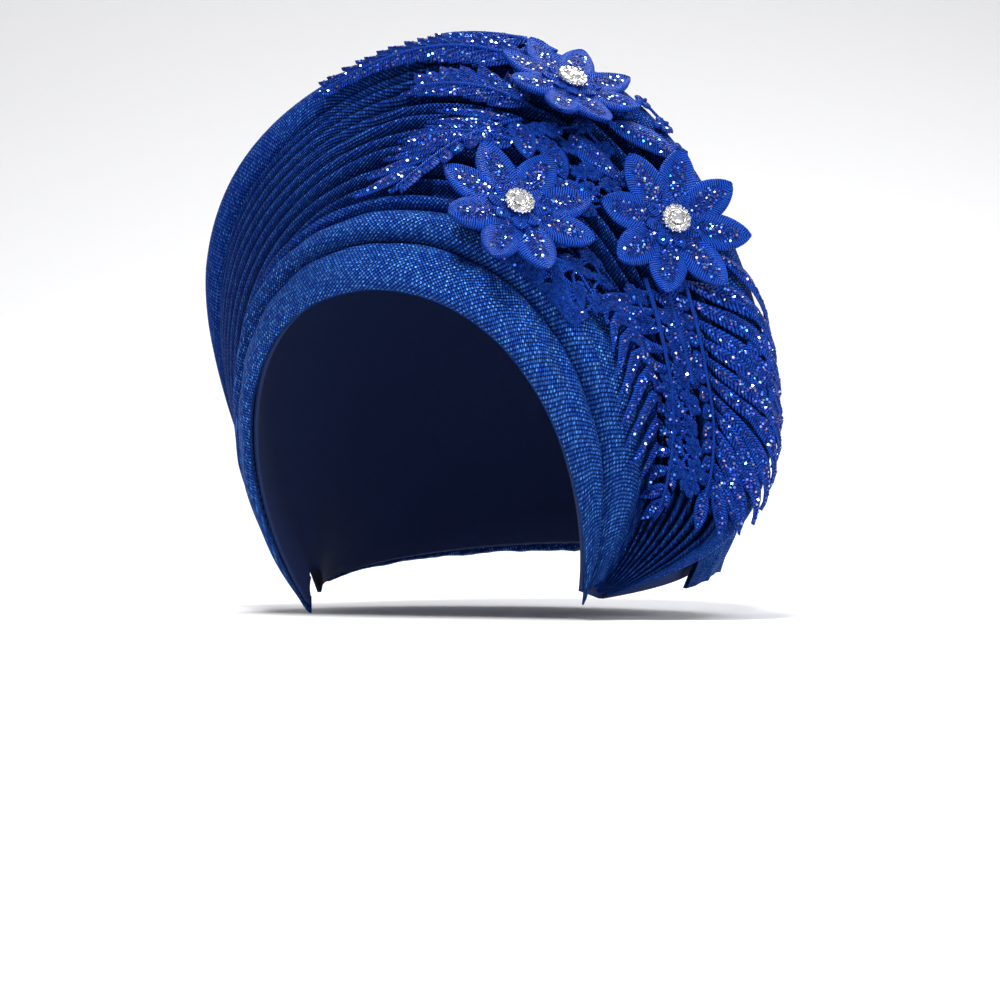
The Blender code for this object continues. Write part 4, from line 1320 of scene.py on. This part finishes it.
def button(name):
    """A round plated button: a ring of small crystals in claws round a deep cup with one large crystal."""
    middle, first, second, facing = flower_frame(name)
    label = name.split("_")[1]
    setting, stones = Shape(), Shape()
    profile = [
        (0.06, 0.0010), (0.40, 0.0010), (0.455, 0.0016), (0.465, 0.0026), (0.44, 0.0031), (0.41, 0.0030),
        (0.37, 0.0033), (0.31, 0.0038), (0.27, 0.0036), (0.255, 0.0029), (0.10, 0.0026), (0.04, 0.0026),
    ]
    claw_profile = [(0.028, 0.0022), (0.026, 0.0040), (0.012, 0.0044)]
    around = 44
    rows = []
    for i in range(around):
        turn = 2 * math.pi * i / around
        way, _ = turned(first, second, turn)
        wave = 1.0 + 0.035 * math.cos(RING_STONES * turn)
        reaches = [BUTTON_ACROSS * r * (wave if r > 0.40 else 1.0) for r, _ in profile]
        rows.append([middle + way * reach + facing * h for reach, (_, h) in zip(reaches, profile)])
    setting.ring_grid(np.array(rows))
    for i in range(RING_STONES):
        turn = 2 * math.pi * i / RING_STONES
        way, beside = turned(first, second, turn)
        seat = middle + way * BUTTON_ACROSS * 0.405 + facing * 0.0028
        tilted = unit(facing + way * 0.35)
        points, faces = stone_mesh(seat, way, beside, tilted, BUTTON_ACROSS * 0.185, 0.0013, 6)
        stones.add(points, faces)
        way, beside = turned(first, second, turn + math.pi / RING_STONES)
        for reach in (0.335, 0.465):
            claw = []
            for k in range(6):
                angle = math.pi * k / 3
                ring = (way * math.cos(angle) + beside * math.sin(angle)) * BUTTON_ACROSS
                foot = middle + way * BUTTON_ACROSS * reach
                claw.append([foot + ring * r + facing * h for r, h in claw_profile])
            setting.ring_grid(np.array(claw))
    seat = middle + facing * 0.0028
    points, faces = stone_mesh(seat, first, second, facing, BUTTON_ACROSS * 0.46, 0.0020, 10)
    stones.add(points, faces)
    metal = setting.build("setting_" + label + "_plated", [METAL])
    glass = stones.build("stones_" + label, [CRYSTAL], smooth=False)
    return metal, glass


# Putting the head tie together

def keep(piece, family, *nodes):
    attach(piece, "root")
    if nodes:
        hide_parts(*nodes)
    return piece


def declare_cloth(piece, held, rests_on, rows, columns):
    """States a sheet's cut size from the outer face of its folded mesh: rows of points across it."""
    points = np.empty(len(piece.data.vertices) * 3)
    piece.data.vertices.foreach_get("co", points)
    face = points.reshape(-1, columns, 3)[:rows]
    length, width = lengths_of(face)
    area = area_of(face)
    print(f"{piece.name}: cut {width:.3f} x {length:.3f} m, cloth {area:.4f} m2")


lining, lining_face = inner_cap()
keep(lining, "cloth", "cap")
declare_cloth(lining, "stretched", [], *lining_face.shape[:2])

bands = []
for node, low, high, across_steps, material in (
    ("front_band", "hem", "groove", 34, WOVEN),
    ("upper_band", "groove", "crease", 40, WOVEN),
    ("band_roll", "crease", "roll_top", 14, WOVEN_BIAS),
):
    piece, _ = band(node, low, high, across_steps, 240, material)
    piece.name = node + "_cloth"
    keep(piece, "cloth", node)
    bands.append(piece)

fan, fan_face = pleated_fan()
fan.name = "pleated_fan_cloth"
keep(fan, "cloth", "pleated_fan")
declare_cloth(fan, "folded", [bands[2]], *fan_face.shape[:2])

crown, crown_face = back_crown()
crown.name = "back_crown_cloth"
keep(crown, "cloth", "back_crown")
declare_cloth(crown, "gathered", [lining], *crown_face.shape[:2])

for name, leaf in FRONDS.items():
    keep(spray(name), "lace", *([leaf.node] if leaf.node else []))
for name in LEAVES:
    keep(leaves(name), "lace")
for name, patch in NETS.items():
    keep(net(name), "lace", *([patch.node] if patch.node else []))
for name in FLOWERS:
    piece = flower(name)
    piece.name = name + "_petals"
    keep(piece, "lace", name)
    metal, glass = button(name)
    keep(metal, "setting", name.replace("flower", "setting"))
    keep(glass, "stone", name.replace("flower", "stone"))


# The studio

def area_light(name, place, target, size, power):
    data = bpy.data.lights.new(name, "AREA")
    data.size = size
    data.energy = power
    light = bpy.data.objects.new(name, data)
    light.location = place
    light.rotation_euler = (Vector(target) - Vector(place)).to_track_quat("-Z", "Y").to_euler()
    bpy.context.scene.collection.objects.link(light)
    return light


def backdrop(floor_height, facing):
    """A pale floor that curves up into a wall behind the object, seen from the camera."""
    away = -np.array([facing[0], facing[1], 0.0])
    side = np.array([away[1], -away[0], 0.0])
    profile = [(-2.5, 0.0), (0.3, 0.0)]
    bend = np.linspace(0.08, math.pi / 2, 20)
    profile += [(0.3 + 1.5 * math.sin(t), 1.5 - 1.5 * math.cos(t)) for t in bend]
    profile += [(1.8, 4.0)]
    points, faces = [], []
    for reach, up in profile:
        for across in (-4.0, 4.0):
            points.append(tuple(away * reach + side * across + np.array([0, 0, floor_height + up])))
    for i in range(len(profile) - 1):
        faces.append((2 * i, 2 * i + 1, 2 * i + 3, 2 * i + 2))
    mesh = bpy.data.meshes.new("backdrop")
    mesh.from_pydata(points, [], faces)
    mesh.polygons.foreach_set("use_smooth", [True] * len(faces))
    paper = Nodes("paper").surface(Base_Color=(0.86, 0.86, 0.87, 1), Roughness=0.85)
    mesh.materials.append(paper)
    piece = bpy.data.objects.new("backdrop", mesh)
    bpy.context.scene.collection.objects.link(piece)
    return piece


AZIMUTH = math.radians(33.0)
CAMERA_DISTANCE = 1.10
CAMERA_SIDE = 0.0067
CAMERA_HEIGHT = -0.0453
CAMERA_LENS = 100.98

toward = np.array([math.sin(AZIMUTH), -math.cos(AZIMUTH), 0.0])
right = np.array([math.cos(AZIMUTH), math.sin(AZIMUTH), 0.0])
camera_place = toward * CAMERA_DISTANCE + right * CAMERA_SIDE + np.array([0.0, 0.0, CAMERA_HEIGHT])
camera_data = bpy.data.cameras.new("photo_camera")
camera_data.sensor_width = 36.0
camera_data.lens = CAMERA_LENS
camera = bpy.data.objects.new("photo_camera", camera_data)
camera.location = camera_place
camera.rotation_euler = Vector(-toward).to_track_quat("-Z", "Y").to_euler()
bpy.context.scene.collection.objects.link(camera)
bpy.context.scene.camera = camera

size_now = [list(corner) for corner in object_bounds()]
floor_height = min(size_at_start[0][2], size_now[0][2])
backdrop(floor_height, toward)

middle = (0.0, 0.0, 0.02)
Light = namedtuple("Light", "name toward right up size power")
LIGHTS = [
    Light("key", 0.62, -0.12, 1.15, 0.32, 21.5),
    Light("fill", 0.8, 1.0, 0.45, 0.5, 7.0),
    Light("top", -0.45, 0.3, 1.1, 0.45, 9.0),
]
for light in LIGHTS:
    place = toward * light.toward + right * light.right + np.array([0, 0, light.up])
    area_light(light.name, tuple(place), middle, light.size, light.power)

world = bpy.data.worlds.new("studio")
world.use_nodes = True
world.node_tree.nodes["Background"].inputs["Color"].default_value = (1.0, 1.0, 1.0, 1)
world.node_tree.nodes["Background"].inputs["Strength"].default_value = 0.34
bpy.context.scene.world = world
bpy.context.scene.view_settings.view_transform = "Standard"
